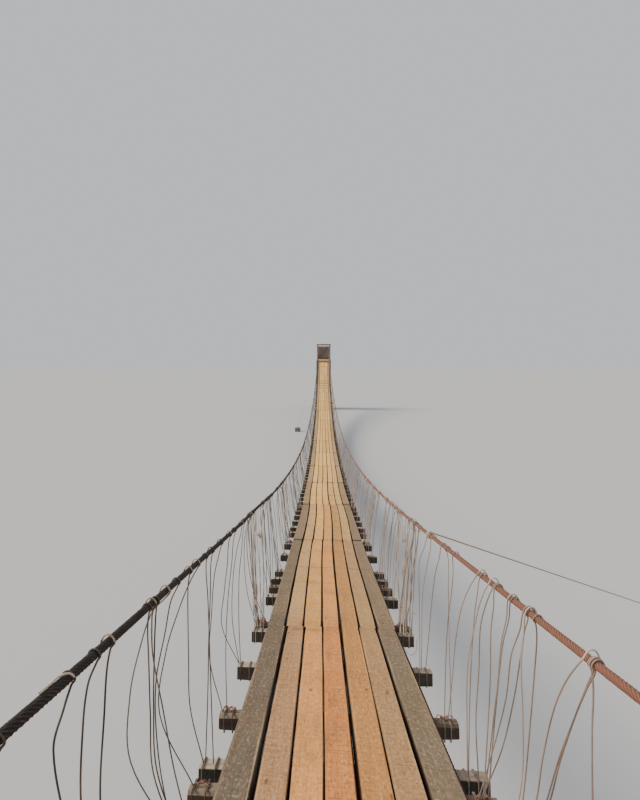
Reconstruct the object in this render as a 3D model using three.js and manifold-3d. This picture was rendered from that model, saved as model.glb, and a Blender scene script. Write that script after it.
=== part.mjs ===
// Suspension footbridge: a plank deck on timber crossbeams, hung by wire rods from two wire ropes.
// The ropes pass through a pipe portal at each end and are held by a concrete anchor block.
// +Y runs along the bridge, +X is to the right and +Z is up. The origin is the middle of the near
// abutment's underside. Every size below is the full-size bridge's, in millimetres, and the finished
// group is drawn at half of it.
import * as THREE from "three";
import { mergeVertices } from "three/addons/utils/BufferGeometryUtils.js";
import Module from "manifold-3d";

const wasm = await Module();
wasm.setup();

// Driving dimensions
const modelScale = 1 / 2;
const seatGap = 0.6;
const span = 72000;
const sag = 4460;
const lowestDeckTop = 1000;

const deckWidth = 1120;
const boardThickness = 50;
const boardLength = 4000;
const endBoardLength = 2000;

const beamSize = 100;
const beamLength = 1380;
const beamSpacing = boardLength / 6;
const beamsPerGroup = 12;
const jointBeamOffset = 95;
const endBeamInset = 110;
const surveyedStart = -24400;
const surveyedEnd = -17000;
const surveyedBeams = [-24330, -24145, -23605, -22875, -21040, -20630, -20285, -19915, -18940, -17140];

const deckRopeSize = 24;
const deckRopeX = 577;
const deckRopeBite = 4;

const ropeRadius = 14;
const ropeSides = 8;
const ropeAboveDeck = 872;
const ropeExtraAtEnds = 143;
const ropeUnevenness = 23;
const ropeOverlap = 8;
const ropeX = 800;
const ropeNarrowing = 210;
const hangerSize = 10;
const hangerFootX = 655;

const abutmentWidth = 1700;
const abutmentLength = 3100;
const abutmentSetback = 50;
const landingRise = 340;
const landingThickness = 60;
const landingWidth = 1200;
const sillDepth = 540;
const anchorBlockWidth = 1380;
const anchorBlockRise = 1930;
const anchorBlockSetback = 1900;

const postRadius = 85;
const postSides = 16;
const postX = 705;
const postSetback = 200;
const lintelSize = 160;
const lintelLength = 1620;
const lintelRise = 2040;
const saddleWidth = 80;
const saddleThickness = 40;
const saddleReach = 150;

const stayRadius = 7;
const staySides = 6;
const stayAnchorSize = 420;
const stayAnchorHeight = 300;
const stayPegRadius = 22;
const stayPegSides = 12;
const stayPegHeight = 140;
const stayCollarLength = 120;
const stayCollarWall = 12;
const stayCollarClearance = 2.2;
const stayCollarSides = 12;
const rightStayY = -22600;
const rightStayAnchor = new THREE.Vector2(6860, -17150);
const leftStayAnchor = new THREE.Vector2(-1990, 14400);
const leftStayStartX = -780;
const leftStayDrop = 200;

// Values worked out from the driving dimensions
const halfSpan = span / 2;
const deckEndTop = lowestDeckTop + sag;
const landingTop = deckEndTop + landingRise;
const abutmentTop = landingTop - landingThickness - seatGap;
const abutmentMiddle = halfSpan + abutmentSetback + abutmentLength / 2;
const anchorBlockFront = halfSpan + anchorBlockSetback;
const anchorBlockLength = abutmentLength + abutmentSetback - anchorBlockSetback;
const postY = halfSpan + postSetback;
const saddleStart = postY - saddleWidth;

// Finishes
const boardWood = new THREE.MeshStandardMaterial({ color: 0xc39a6c, roughness: 0.85, metalness: 0 });
const beamWood = new THREE.MeshStandardMaterial({ color: 0x7d7468, roughness: 0.95, metalness: 0 });
const darkRope = new THREE.MeshStandardMaterial({ color: 0x3d2d25, roughness: 0.7, metalness: 0.4 });
const rustyRope = new THREE.MeshStandardMaterial({ color: 0x86513d, roughness: 0.8, metalness: 0.3 });
const rustySteel = new THREE.MeshStandardMaterial({ color: 0x7c5347, roughness: 0.8, metalness: 0.3 });
const stayWire = new THREE.MeshStandardMaterial({ color: 0x9a9184, roughness: 0.6, metalness: 0.5 });
const concrete = new THREE.MeshStandardMaterial({ color: 0x77756f, roughness: 0.95, metalness: 0 });

const bridge = new THREE.Group();

function addPiece(name, geometry, material) {
  const mesh = new THREE.Mesh(geometry, material);
  mesh.name = name;
  bridge.add(mesh);
  return mesh;
}

// A closed geometry as a solid that can be joined to others
function solidOf(geometry) {
  const bare = geometry.clone();
  bare.deleteAttribute("normal");
  bare.deleteAttribute("uv");
  const merged = mergeVertices(bare, 1e-3);
  const vertProperties = new Float32Array(merged.getAttribute("position").array);
  const triVerts = new Uint32Array(merged.getIndex().array);
  return new wasm.Manifold(new wasm.Mesh({ numProp: 3, vertProperties, triVerts }));
}

// Several overlapping closed geometries joined into one body
function joined(geometries) {
  const mesh = wasm.Manifold.union(geometries.map(solidOf)).getMesh();
  const geometry = new THREE.BufferGeometry();
  geometry.setAttribute("position", new THREE.BufferAttribute(mesh.vertProperties, 3));
  geometry.setIndex(new THREE.BufferAttribute(mesh.triVerts, 1));
  geometry.computeVertexNormals();
  return geometry;
}

function block(width, length, height, x, y, bottom) {
  return new THREE.BoxGeometry(width, length, height).translate(x, y, bottom + height / 2);
}

// A straight round bar between two points
function bar(start, end, radius, sides) {
  const along = end.clone().sub(start);
  const heading = along.clone().normalize();
  const turn = new THREE.Quaternion().setFromUnitVectors(new THREE.Vector3(0, 1, 0), heading);
  const geometry = new THREE.CylinderGeometry(radius, radius, along.length(), sides);
  const middle = start.clone().lerp(end, 0.5);
  return geometry.applyQuaternion(turn).translate(middle.x, middle.y, middle.z);
}

const numbered = (name, index) => `${name}_${String(index + 1).padStart(2, "0")}`;

// The deck hangs in a parabola. Its boards lie straight from joint to joint, so the walking surface
// is a chain of straight bays, with a half-length bay at each end.
const sagCurve = (y) => lowestDeckTop + sag * (y / halfSpan) ** 2;

const joints = [-halfSpan];
for (let y = -halfSpan + endBoardLength; y < halfSpan; y += boardLength) joints.push(y);
joints.push(halfSpan);

const bayEndAfter = (y) => joints.find((joint, index) => index > 0 && joint >= y);
const bayStartOf = (bayEnd) => joints[joints.indexOf(bayEnd) - 1];

function deckSlope(y) {
  const end = bayEndAfter(y);
  const start = bayStartOf(end);
  return (sagCurve(end) - sagCurve(start)) / (end - start);
}

function deckTop(y) {
  const end = bayEndAfter(y);
  return sagCurve(end) - deckSlope(y) * (end - y);
}

// A band that follows the bays between two heights, measured from the walking surface
function bandAlongDeck(stops, width, upper, lower) {
  const topLine = stops.map((y) => new THREE.Vector2(y, deckTop(y) + upper));
  const bottomLine = stops.map((y) => new THREE.Vector2(y, deckTop(y) + lower)).reverse();
  const outline = new THREE.Shape([...topLine, ...bottomLine]);
  const geometry = new THREE.ExtrudeGeometry(outline, { depth: width, bevelEnabled: false });
  const alongBridge = new THREE.Vector3(0, 1, 0);
  const upwards = new THREE.Vector3(0, 0, 1);
  const across = new THREE.Vector3(1, 0, 0);
  geometry.applyMatrix4(new THREE.Matrix4().makeBasis(alongBridge, upwards, across));
  return geometry.translate(-width / 2, 0, 0);
}

// Deck boards: the end bays and the middle bay are nodes of their own, the others go in pairs
function addDeckBoards() {
  const middleBay = (joints.length - 2) / 2;
  const starts = [0];
  for (let bay = 1; bay < joints.length - 1; bay += bay === middleBay ? 1 : 2) starts.push(bay);
  starts.forEach((start, index) => {
    const end = starts[index + 1] ?? joints.length - 1;
    const stops = joints.slice(start, end + 1);
    stops[0] += seatGap / 2;
    stops[stops.length - 1] -= seatGap / 2;
    addPiece(numbered("deck_boards", index), bandAlongDeck(stops, deckWidth, 0, -boardThickness), boardWood);
  });
}

// Crossbeams lie at even steps, except in the surveyed stretch, where each has its measured place.
// Two lie side by side where boards butt together.
const regularBeams = [...surveyedBeams];
const jointBeams = [];
const lastStep = Math.round(halfSpan / beamSpacing) - 1;
for (let step = -lastStep; step <= lastStep; step += 1) {
  const y = step * beamSpacing;
  if (joints.some((joint) => Math.abs(joint - y) < 1)) {
    jointBeams.push(y - jointBeamOffset, y + jointBeamOffset);
  } else if (y < surveyedStart || y > surveyedEnd) regularBeams.push(y);
}
const endBeams = [-halfSpan + endBeamInset, halfSpan - endBeamInset];
const allBeams = [...regularBeams, ...jointBeams, ...endBeams].sort((a, b) => a - b);

// The middle of a beam's top face, square under the boards
function beamSeat(y, depthBelowSeat) {
  const tilt = Math.atan(deckSlope(y));
  const depth = boardThickness * Math.cos(tilt) + seatGap + depthBelowSeat;
  return new THREE.Vector3(0, y + depth * Math.sin(tilt), deckTop(y) - depth * Math.cos(tilt));
}

function crossbeam(y) {
  const middle = beamSeat(y, beamSize / 2);
  const geometry = new THREE.BoxGeometry(beamLength, beamSize, beamSize);
  return geometry.rotateX(Math.atan(deckSlope(y))).translate(0, middle.y, middle.z);
}

// Two thin ropes lie on the beams beside the boards and tie them together
function addCrossbeams() {
  const groupLength = beamsPerGroup * beamSpacing;
  const edges = [-halfSpan];
  for (let edge = -halfSpan + groupLength; edge < halfSpan; edge += groupLength) {
    edges.push(edge - (Math.sign(edge) * beamSpacing) / 2);
  }
  edges.push(halfSpan);
  edges.slice(1).forEach((end, index) => {
    const start = edges[index];
    const beams = allBeams.filter((y) => y > start && y < end);
    const between = joints.filter((y) => y > start && y < end);
    const stops = [start + seatGap / 2, ...between, end - seatGap / 2];
    const rope = bandAlongDeck(
      stops,
      deckRopeSize,
      deckRopeSize - boardThickness - seatGap - deckRopeBite,
      -boardThickness - seatGap - deckRopeBite,
    );
    const pieces = [rope.clone().translate(-deckRopeX, 0, 0), rope.clone().translate(deckRopeX, 0, 0)];
    addPiece(numbered("crossbeams", index), joined([...beams.map(crossbeam), ...pieces]), beamWood);
  });
}

// The main ropes hang beside the deck at handrail height and draw together towards the portals. The
// left one hangs a little higher than the right one.
const ropeSideways = (y) => ropeX - ropeNarrowing * (y / halfSpan) ** 2;
const ropeRise = (y) => ropeAboveDeck + ropeExtraAtEnds * (y / halfSpan) ** 2;
const ropeHeight = (side, y) => sagCurve(y) + ropeRise(y) - side * ropeUnevenness;
const saddleHeight = (side) => ropeHeight(side, saddleStart);

class MainRopeLine extends THREE.Curve {
  constructor(side, start, end) {
    super();
    this.side = side;
    this.start = start;
    this.end = end;
  }

  getPoint(t, target = new THREE.Vector3()) {
    const y = THREE.MathUtils.lerp(this.start, this.end, t);
    return target.set(this.side * ropeSideways(y), y, ropeHeight(this.side, y));
  }
}

function ropeBetween(side, start, end) {
  const corners = Array.from({ length: ropeSides }, (_, corner) => {
    const angle = (corner / ropeSides) * 2 * Math.PI;
    return new THREE.Vector2(ropeRadius * Math.cos(angle), ropeRadius * Math.sin(angle));
  });
  return new THREE.ExtrudeGeometry(new THREE.Shape(corners), {
    steps: Math.round((end - start) / beamSpacing),
    extrudePath: new MainRopeLine(side, start, end),
    bevelEnabled: false,
  });
}

// Behind the portal the rope runs level from its saddle to the anchor block
function levelRopeEnd(side, end) {
  const x = side * ropeSideways(saddleStart);
  const start = new THREE.Vector3(x, end * (saddleStart - ropeOverlap), saddleHeight(side));
  const stop = new THREE.Vector3(x, end * (anchorBlockFront - seatGap), saddleHeight(side));
  return bar(start, stop, ropeRadius, ropeSides);
}

// A hanger rod stands on the beam's end and is fixed round the main rope
function hanger(side, y) {
  const seat = beamSeat(y, 0);
  const top = new THREE.Vector3(side * ropeSideways(seat.y), seat.y, ropeHeight(side, seat.y));
  const foot = new THREE.Vector3(side * hangerFootX, seat.y, seat.z);
  const lean = Math.atan2(top.x - foot.x, top.z - foot.z);
  foot.z += seatGap + (hangerSize / 2) * (Math.abs(deckSlope(y)) + Math.abs(Math.sin(lean)));
  const length = foot.distanceTo(top);
  const middle = foot.clone().lerp(top, 0.5);
  const geometry = new THREE.BoxGeometry(hangerSize, hangerSize, length);
  return geometry.rotateY(lean).translate(middle.x, middle.y, middle.z);
}

function addHangerPanels() {
  const hangerPlaces = [...regularBeams, ...jointBeams.filter((_, index) => index % 2 === 0)];
  const third = Math.round(halfSpan / 3 / beamSpacing) * beamSpacing + beamSpacing / 2;
  const sides = [
    ["left", -1, darkRope],
    ["right", 1, rustyRope],
  ];
  for (const [sideName, side, material] of sides) {
    const panels = [
      ["near", -saddleStart, -third - seatGap / 2, -1],
      ["middle", -third + seatGap / 2, third - seatGap / 2, 0],
      ["far", third + seatGap / 2, saddleStart, 1],
    ];
    for (const [place, start, end, portal] of panels) {
      const rods = hangerPlaces.filter((y) => y > start && y < end).map((y) => hanger(side, y));
      const pieces = [ropeBetween(side, start, end), ...rods];
      if (portal !== 0) pieces.push(levelRopeEnd(side, portal));
      addPiece(`rope_and_hangers_${sideName}_${place}`, joined(pieces), material);
    }
  }
}

// A portal post is a pipe standing on the abutment, with a short bracket that carries the rope
function portalPost(side, end) {
  const bottom = abutmentTop + seatGap;
  const height = deckEndTop + lintelRise - lintelSize / 2 - seatGap - bottom;
  const pipe = new THREE.CylinderGeometry(postRadius, postRadius, height, postSides);
  pipe.rotateX(Math.PI / 2).translate(side * postX, end * postY, bottom + height / 2);
  const saddleBottom = saddleHeight(side) - ropeRadius - seatGap - saddleThickness;
  const saddleX = side * (postX - saddleReach / 2);
  const saddle = block(saddleReach, saddleWidth, saddleThickness, saddleX, end * postY, saddleBottom);
  return joined([pipe, saddle]);
}

function addBridgeEnd(name, end) {
  const landingLength = anchorBlockSetback - 2 * seatGap;
  const landingMiddle = halfSpan + seatGap + landingLength / 2;
  const sillThickness = abutmentSetback - 2 * seatGap;
  const landingBottom = landingTop - landingThickness;
  const sillBottom = landingBottom - seatGap - sillDepth;
  const blockHeight = deckEndTop + anchorBlockRise - abutmentTop - seatGap;
  const blockMiddle = anchorBlockFront + anchorBlockLength / 2;
  const lintelBottom = deckEndTop + lintelRise - lintelSize / 2;

  addPiece(
    `abutment_${name}`,
    block(abutmentWidth, abutmentLength, abutmentTop, 0, end * abutmentMiddle, 0),
    concrete,
  );
  addPiece(
    `end_sill_${name}`,
    block(landingWidth, sillThickness, sillDepth, 0, end * (halfSpan + abutmentSetback / 2), sillBottom),
    rustySteel,
  );
  addPiece(
    `landing_${name}`,
    block(landingWidth, landingLength, landingThickness, 0, end * landingMiddle, landingBottom),
    boardWood,
  );
  addPiece(
    `anchor_block_${name}`,
    block(anchorBlockWidth, anchorBlockLength, blockHeight, 0, end * blockMiddle, abutmentTop + seatGap),
    concrete,
  );
  addPiece(`portal_post_${name}_left`, portalPost(-1, end), rustySteel);
  addPiece(`portal_post_${name}_right`, portalPost(1, end), rustySteel);
  addPiece(
    `portal_lintel_${name}`,
    block(lintelLength, lintelSize, lintelSize, 0, end * postY, lintelBottom),
    rustySteel,
  );
}

// A taut stay ends at a steel peg that stands in a small concrete block on the ground
function stayAnchor(place) {
  const base = block(stayAnchorSize, stayAnchorSize, stayAnchorHeight, place.x, place.y, 0);
  const pegLength = stayPegHeight + stayAnchorHeight / 2;
  const peg = new THREE.CylinderGeometry(stayPegRadius, stayPegRadius, pegLength, stayPegSides);
  peg.rotateX(Math.PI / 2).translate(place.x, place.y, stayAnchorHeight / 2 + pegLength / 2);
  return joined([base, peg]);
}

const pegPoint = (place) => new THREE.Vector3(place.x, place.y, stayAnchorHeight + stayPegHeight / 2);

// The point where a stay's end face just clears an upright surface that lies a reach before its aim
function stoppedShort(from, aim, reach) {
  const along = aim.clone().sub(from).normalize();
  const level = Math.hypot(along.x, along.y);
  const clearance = (reach + seatGap + stayRadius * Math.abs(along.z)) / level;
  return aim.clone().addScaledVector(along, -clearance);
}

function addStays() {
  const ropePoint = new MainRopeLine(1, rightStayY, rightStayY + beamSpacing);
  const rightStart = ropePoint.getPoint(0);
  const ropeDirection = ropePoint.getTangent(0);
  const collarInside = ropeRadius + stayCollarClearance;
  const collarOutside = collarInside + stayCollarWall;
  const half = stayCollarLength / 2;
  const collarProfile = [
    new THREE.Vector2(collarInside, -half),
    new THREE.Vector2(collarOutside, -half),
    new THREE.Vector2(collarOutside, half),
    new THREE.Vector2(collarInside, half),
    new THREE.Vector2(collarInside, -half),
  ];
  const collar = new THREE.LatheGeometry(collarProfile, stayCollarSides);
  const turn = new THREE.Quaternion().setFromUnitVectors(new THREE.Vector3(0, 1, 0), ropeDirection);
  collar.applyQuaternion(turn).translate(rightStart.x, rightStart.y, rightStart.z);
  const rightAim = pegPoint(rightStayAnchor);
  const rightAlong = rightAim.clone().sub(rightStart).normalize();
  const wallMiddle = (collarInside + stayCollarWall / 2) / Math.sin(ropeDirection.angleTo(rightAlong));
  const fromCollar = rightStart.clone().addScaledVector(rightAlong, wallMiddle);
  const rightEnd = stoppedShort(fromCollar, rightAim, stayPegRadius);
  const rightWire = bar(fromCollar, rightEnd, stayRadius, staySides);
  addPiece("side_stay_near_right", joined([collar, rightWire]), stayWire);
  addPiece("stay_anchor_near_right", stayAnchor(rightStayAnchor), concrete);

  const abutmentFront = halfSpan + abutmentSetback;
  const leftTop = new THREE.Vector3(leftStayStartX, abutmentFront, deckEndTop - leftStayDrop);
  const leftAim = pegPoint(leftStayAnchor);
  const leftAlong = leftAim.clone().sub(leftTop).normalize();
  const awayFromFace = seatGap + stayRadius * Math.sqrt(1 - leftAlong.y ** 2);
  const leftStart = leftTop.clone().addScaledVector(leftAlong, awayFromFace / Math.abs(leftAlong.y));
  const leftEnd = stoppedShort(leftStart, leftAim, stayPegRadius);
  addPiece("side_stay_far_left", bar(leftStart, leftEnd, stayRadius, staySides), stayWire);
  addPiece("stay_anchor_far_left", stayAnchor(leftStayAnchor), concrete);
}

addDeckBoards();
addCrossbeams();
addHangerPanels();
addBridgeEnd("near", -1);
addBridgeEnd("far", 1);
addStays();

bridge.position.y = abutmentMiddle;
const model = new THREE.Group();
model.add(bridge);
model.scale.setScalar(modelScale);

export default model;
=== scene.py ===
# A suspension footbridge over a river, at half its real size. All lengths are in metres of the model.
# +Y runs along the bridge, away from the viewer, and +Z is up.
import math
import random

import bmesh
import bpy
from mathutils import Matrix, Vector


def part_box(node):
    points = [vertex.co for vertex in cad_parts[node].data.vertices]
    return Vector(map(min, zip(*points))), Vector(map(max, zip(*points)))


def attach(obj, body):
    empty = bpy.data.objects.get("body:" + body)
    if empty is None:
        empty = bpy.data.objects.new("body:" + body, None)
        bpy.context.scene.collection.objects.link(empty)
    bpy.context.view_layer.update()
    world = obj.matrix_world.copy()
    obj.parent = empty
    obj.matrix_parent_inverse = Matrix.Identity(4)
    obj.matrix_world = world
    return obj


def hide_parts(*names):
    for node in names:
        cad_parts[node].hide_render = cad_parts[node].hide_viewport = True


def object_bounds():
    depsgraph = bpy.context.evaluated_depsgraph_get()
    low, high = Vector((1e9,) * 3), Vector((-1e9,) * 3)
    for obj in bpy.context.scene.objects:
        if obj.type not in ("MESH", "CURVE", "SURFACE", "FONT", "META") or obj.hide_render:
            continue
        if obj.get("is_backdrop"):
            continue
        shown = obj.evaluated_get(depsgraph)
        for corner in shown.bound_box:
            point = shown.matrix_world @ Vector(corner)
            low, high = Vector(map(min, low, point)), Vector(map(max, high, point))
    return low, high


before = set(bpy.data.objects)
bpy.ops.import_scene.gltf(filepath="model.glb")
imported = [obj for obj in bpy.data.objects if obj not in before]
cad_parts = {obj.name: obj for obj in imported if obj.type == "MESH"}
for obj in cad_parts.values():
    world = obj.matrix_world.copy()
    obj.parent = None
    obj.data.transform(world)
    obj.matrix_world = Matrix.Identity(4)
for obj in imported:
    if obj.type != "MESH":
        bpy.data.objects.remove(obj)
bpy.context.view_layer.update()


# The viewer stands on the deck, 4.65 m from its near end, with the eyes 0.74 m above the boards, and
# looks a little down and to the left. The picture is cut off-centre, so the lens is shifted.
viewer_lens = bpy.data.cameras.new("viewer")
viewer_lens.lens = 24.3
viewer_lens.sensor_width = 36.0
viewer_lens.shift_x = 0.03925
viewer_lens.clip_start = 0.05
viewer_lens.clip_end = 900.0
viewer = bpy.data.objects.new("viewer", viewer_lens)
viewer.location = (-0.04245, 5.45, 2.47)
viewer.rotation_euler = (math.radians(90 - 3.51), 0, math.radians(3.627))
bpy.context.collection.objects.link(viewer)
bpy.context.scene.camera = viewer


# Floor and light: a plain pale floor, a broad warm lamp high on the left, and an even pale sky that
# fills the shade.
FLOOR_REACH = 400.0
floor_mesh = bpy.data.meshes.new("floor")
floor_corners = [(x * FLOOR_REACH, y * FLOOR_REACH, 0) for x, y in ((-1, -1), (1, -1), (1, 1), (-1, 1))]
floor_mesh.from_pydata(floor_corners, [], [(0, 1, 2, 3)])
floor_finish = bpy.data.materials.new("pale_floor")
floor_finish.use_nodes = True
floor_shader = floor_finish.node_tree.nodes["Principled BSDF"]
floor_shader.inputs["Base Color"].default_value = (0.53, 0.535, 0.545, 1.0)
floor_shader.inputs["Roughness"].default_value = 0.95
floor_shader.inputs["Specular IOR Level"].default_value = 0.0
floor_mesh.materials.append(floor_finish)
floor = bpy.data.objects.new("floor", floor_mesh)
bpy.context.collection.objects.link(floor)
floor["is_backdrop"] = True

lamp_light = bpy.data.lights.new("soft_lamp", "SUN")
lamp_light.energy = 3.5
lamp_light.angle = math.radians(24)
lamp_light.color = (1.0, 0.90, 0.76)
lamp = bpy.data.objects.new("soft_lamp", lamp_light)
lamp.rotation_euler = Vector((0.80, -0.06, -0.62)).to_track_quat("-Z", "Y").to_euler()
bpy.context.collection.objects.link(lamp)

sky = bpy.data.worlds.new("sky")
sky.use_nodes = True
sky.node_tree.nodes["Background"].inputs["Color"].default_value = (0.84, 0.87, 0.92, 1.0)
sky.node_tree.nodes["Background"].inputs["Strength"].default_value = 0.78
bpy.context.scene.world = sky


# Deck boards: seven rough-sawn softwood boards side by side, 2 m long in the model, nailed down and
# butted over a pair of crossbeams. They hang in a parabola but each bay lies straight. The outer
# boards have turned grey and the walked ones are warm tan. Every upright face, the board sides in the
# gaps above all, is painted dark brown, partly for dirt and partly as painted shade.
BOARD_THICKNESS = 0.025
BOARD_LENGTH = 2.0
near_bay, middle_bay, far_bay = (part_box(f"deck_boards_{number}") for number in ("01", "06", "11"))
DECK_START = round(near_bay[0].y, 3)
DECK_END = round(far_bay[1].y, 3)
DECK_HALF_WIDTH = near_bay[1].x
MIDDLE = (DECK_START + DECK_END) / 2
HALF_SPAN = (DECK_END - DECK_START) / 2
SAG = (near_bay[1].z - middle_bay[1].z) / (1 - (BOARD_LENGTH / 2 / HALF_SPAN) ** 2)
LOWEST_TOP = near_bay[1].z - SAG


def sag_curve(y):
    return LOWEST_TOP + SAG * ((y - MIDDLE) / HALF_SPAN) ** 2


deck_joints = [DECK_START] + [MIDDLE + (i - 8.5) * BOARD_LENGTH for i in range(18)] + [DECK_END]


def bay_at(y):
    return max(i for i, joint in enumerate(deck_joints[:-1]) if joint <= y or i == 0)


def bay_slope(bay):
    start, end = deck_joints[bay], deck_joints[bay + 1]
    return (sag_curve(end) - sag_curve(start)) / (end - start)


def bay_top(bay, y):
    return sag_curve(deck_joints[bay]) + bay_slope(bay) * (y - deck_joints[bay])


def deck_slope(y):
    return bay_slope(bay_at(y))


def deck_top(y):
    return bay_top(bay_at(y), y)


# Arithmetic on a node's output adds Math nodes, so that a finish can be written as an expression.
class Reading:
    def __init__(self, graph, socket):
        self.graph = graph
        self.socket = socket

    def math(self, operation, *numbers):
        return self.graph.add("ShaderNodeMath", {"operation": operation}, dict(enumerate(numbers)))

    def __add__(self, other):
        return self.math("ADD", self, other)

    def __sub__(self, other):
        return self.math("SUBTRACT", self, other)

    def __rsub__(self, other):
        return self.math("SUBTRACT", other, self)

    def __mul__(self, other):
        return self.math("MULTIPLY", self, other)

    def __truediv__(self, other):
        return self.math("DIVIDE", self, other)

    def __abs__(self):
        return self.math("ABSOLUTE", self)

    __radd__ = __add__
    __rmul__ = __mul__

    def rising(self, start, end):
        settings = {"interpolation_type": "SMOOTHSTEP"}
        limits = {"Value": self, "From Min": start, "From Max": end}
        return self.graph.add("ShaderNodeMapRange", settings, limits)


# A tree of shader or geometry nodes, grown node by node.
class Graph:
    def __init__(self, tree):
        self.tree = tree

    def add(self, kind, settings=None, sockets=None, output=0):
        node = self.tree.nodes.new(kind)
        for name, setting in (settings or {}).items():
            setattr(node, name, setting)
        for key, value in (sockets or {}).items():
            if isinstance(key, int):
                socket = node.inputs[key]
            else:
                socket = next(s for s in node.inputs if s.name == key and s.enabled)
            if isinstance(value, Reading):
                self.tree.links.new(value.socket, socket)
            else:
                socket.default_value = value
        if isinstance(output, str):
            return Reading(self, node.outputs[output])
        return Reading(self, [s for s in node.outputs if s.enabled][output])

    def part(self, vector, axis):
        return self.add("ShaderNodeSeparateXYZ", None, {0: vector}, axis)

    def marked(self, name, output):
        return self.add("ShaderNodeAttribute", {"attribute_name": name}, None, output)

    def stretched(self, vector, x, y, z=1.0):
        return self.add("ShaderNodeVectorMath", {"operation": "MULTIPLY"}, {0: vector, 1: (x, y, z)})

    def noise(self, vector, scale, detail=3.0, roughness=0.55):
        sockets = {"Vector": vector, "Scale": scale, "Detail": detail, "Roughness": roughness}
        return self.add("ShaderNodeTexNoise", None, sockets)

    def streaked(self, vector, scales, detail=3.0, roughness=0.55):
        return self.noise(self.stretched(vector, *scales), 1.0, detail, roughness)

    def noise_along(self, distance, scale, detail=2.0):
        sockets = {"W": distance, "Scale": scale, "Detail": detail}
        return self.add("ShaderNodeTexNoise", {"noise_dimensions": "1D"}, sockets)

    def blend(self, factor, first, second):
        settings = {"data_type": "RGBA", "blend_type": "MIX"}
        return self.add("ShaderNodeMix", settings, {"Factor": factor, "A": first, "B": second})


def paint(red, green, blue):
    channels = [c / 255 for c in (red, green, blue)]
    return tuple(c / 12.92 if c <= 0.04045 else ((c + 0.055) / 1.055) ** 2.4 for c in channels) + (1.0,)


# A finish is grown from a shader, whose own sockets hold what is the same all over the surface. Its
# colour is laid on in coats over a first tone, each coat through a mask.
class Finish(Graph):
    def __init__(self, name, **constants):
        self.material = bpy.data.materials.new(name)
        self.material.use_nodes = True
        super().__init__(self.material.node_tree)
        self.shader = self.tree.nodes["Principled BSDF"]
        for socket, value in constants.items():
            self.shader.inputs[socket.replace("_", " ")].default_value = value
        self.colour = None

    def in_space(self):
        return self.add("ShaderNodeTexCoord", None, None, "Object")

    def on_grain(self):
        return self.add("ShaderNodeUVMap", {"uv_map": "grain"})

    def facing_up(self):
        return self.part(self.add("ShaderNodeNewGeometry", None, None, "Normal"), 2)

    def coat(self, mask, *tone):
        self.colour = self.blend(mask, self.colour, paint(*tone) if len(tone) == 3 else tone[0])

    def cover(self, roughness, height, depth, strength=1.0):
        bump = self.add("ShaderNodeBump", None, {"Height": height, "Distance": depth, "Strength": strength})
        for socket, reading in (("Base Color", self.colour), ("Roughness", roughness), ("Normal", bump)):
            self.tree.links.new(reading.socket, self.shader.inputs[socket])
        return self.material


# Closed shapes gathered into one mesh. Each has its own tone and UV map in metres, round the shape and
# along it, and its worn corners are marked.
class Heap:
    def __init__(self):
        self.points = []
        self.faces = []
        self.uvs = []
        self.tones = []
        self.wear = []
        self.shift = 0.0

    def loft(self, rings, tone, wear=None):
        first = len(self.points)
        count = len(rings[0])
        self.shift += 3.7
        around = [self.shift]
        for j in range(count):
            around.append(around[-1] + (rings[0][(j + 1) % count] - rings[0][j]).length)
        middles = [sum(ring, Vector()) / count for ring in rings]
        along = [self.shift * 1.3]
        for i in range(1, len(rings)):
            along.append(along[-1] + (middles[i] - middles[i - 1]).length)
        for ring in rings:
            self.points.extend(ring)
            self.tones.extend([tone] * count)
            self.wear.extend(wear or [0.0] * count)
        for i in range(len(rings) - 1):
            for j in range(count):
                k = (j + 1) % count
                low, high = first + i * count, first + (i + 1) * count
                self.faces.append((low + j, low + k, high + k, high + j))
                self.uvs.extend(((around[j], along[i]), (around[j + 1], along[i])))
                self.uvs.extend(((around[j + 1], along[i + 1]), (around[j], along[i + 1])))
        for ring, start in ((rings[0], first), (rings[-1], first + (len(rings) - 1) * count)):
            self.faces.append(tuple(range(start, start + count)))
            for point in ring:
                self.uvs.append((self.shift + point.x + point.y, point.z))

    def piece(self, name, finish, slot, *nodes):
        mesh = bpy.data.meshes.new(name)
        mesh.from_pydata(self.points, [], self.faces)
        layer = mesh.uv_layers.new(name="grain")
        layer.data.foreach_set("uv", [number for uv in self.uvs for number in uv])
        tone = mesh.attributes.new("tone", "FLOAT_COLOR", "POINT")
        tone.data.foreach_set("color", [number for colour in self.tones for number in (*colour[:3], 1.0)])
        wear = mesh.attributes.new("wear", "FLOAT", "POINT")
        wear.data.foreach_set("value", self.wear)
        shell = bmesh.new()
        shell.from_mesh(mesh)
        bmesh.ops.recalc_face_normals(shell, faces=shell.faces)
        shell.to_mesh(mesh)
        shell.free()
        mesh.materials.append(finish)
        placed(bpy.data.objects.new(name, mesh), slot, *nodes)


def placed(piece, slot, *nodes):
    bpy.context.collection.objects.link(piece)
    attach(piece, "root")
    if nodes:
        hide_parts(*nodes)


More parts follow.
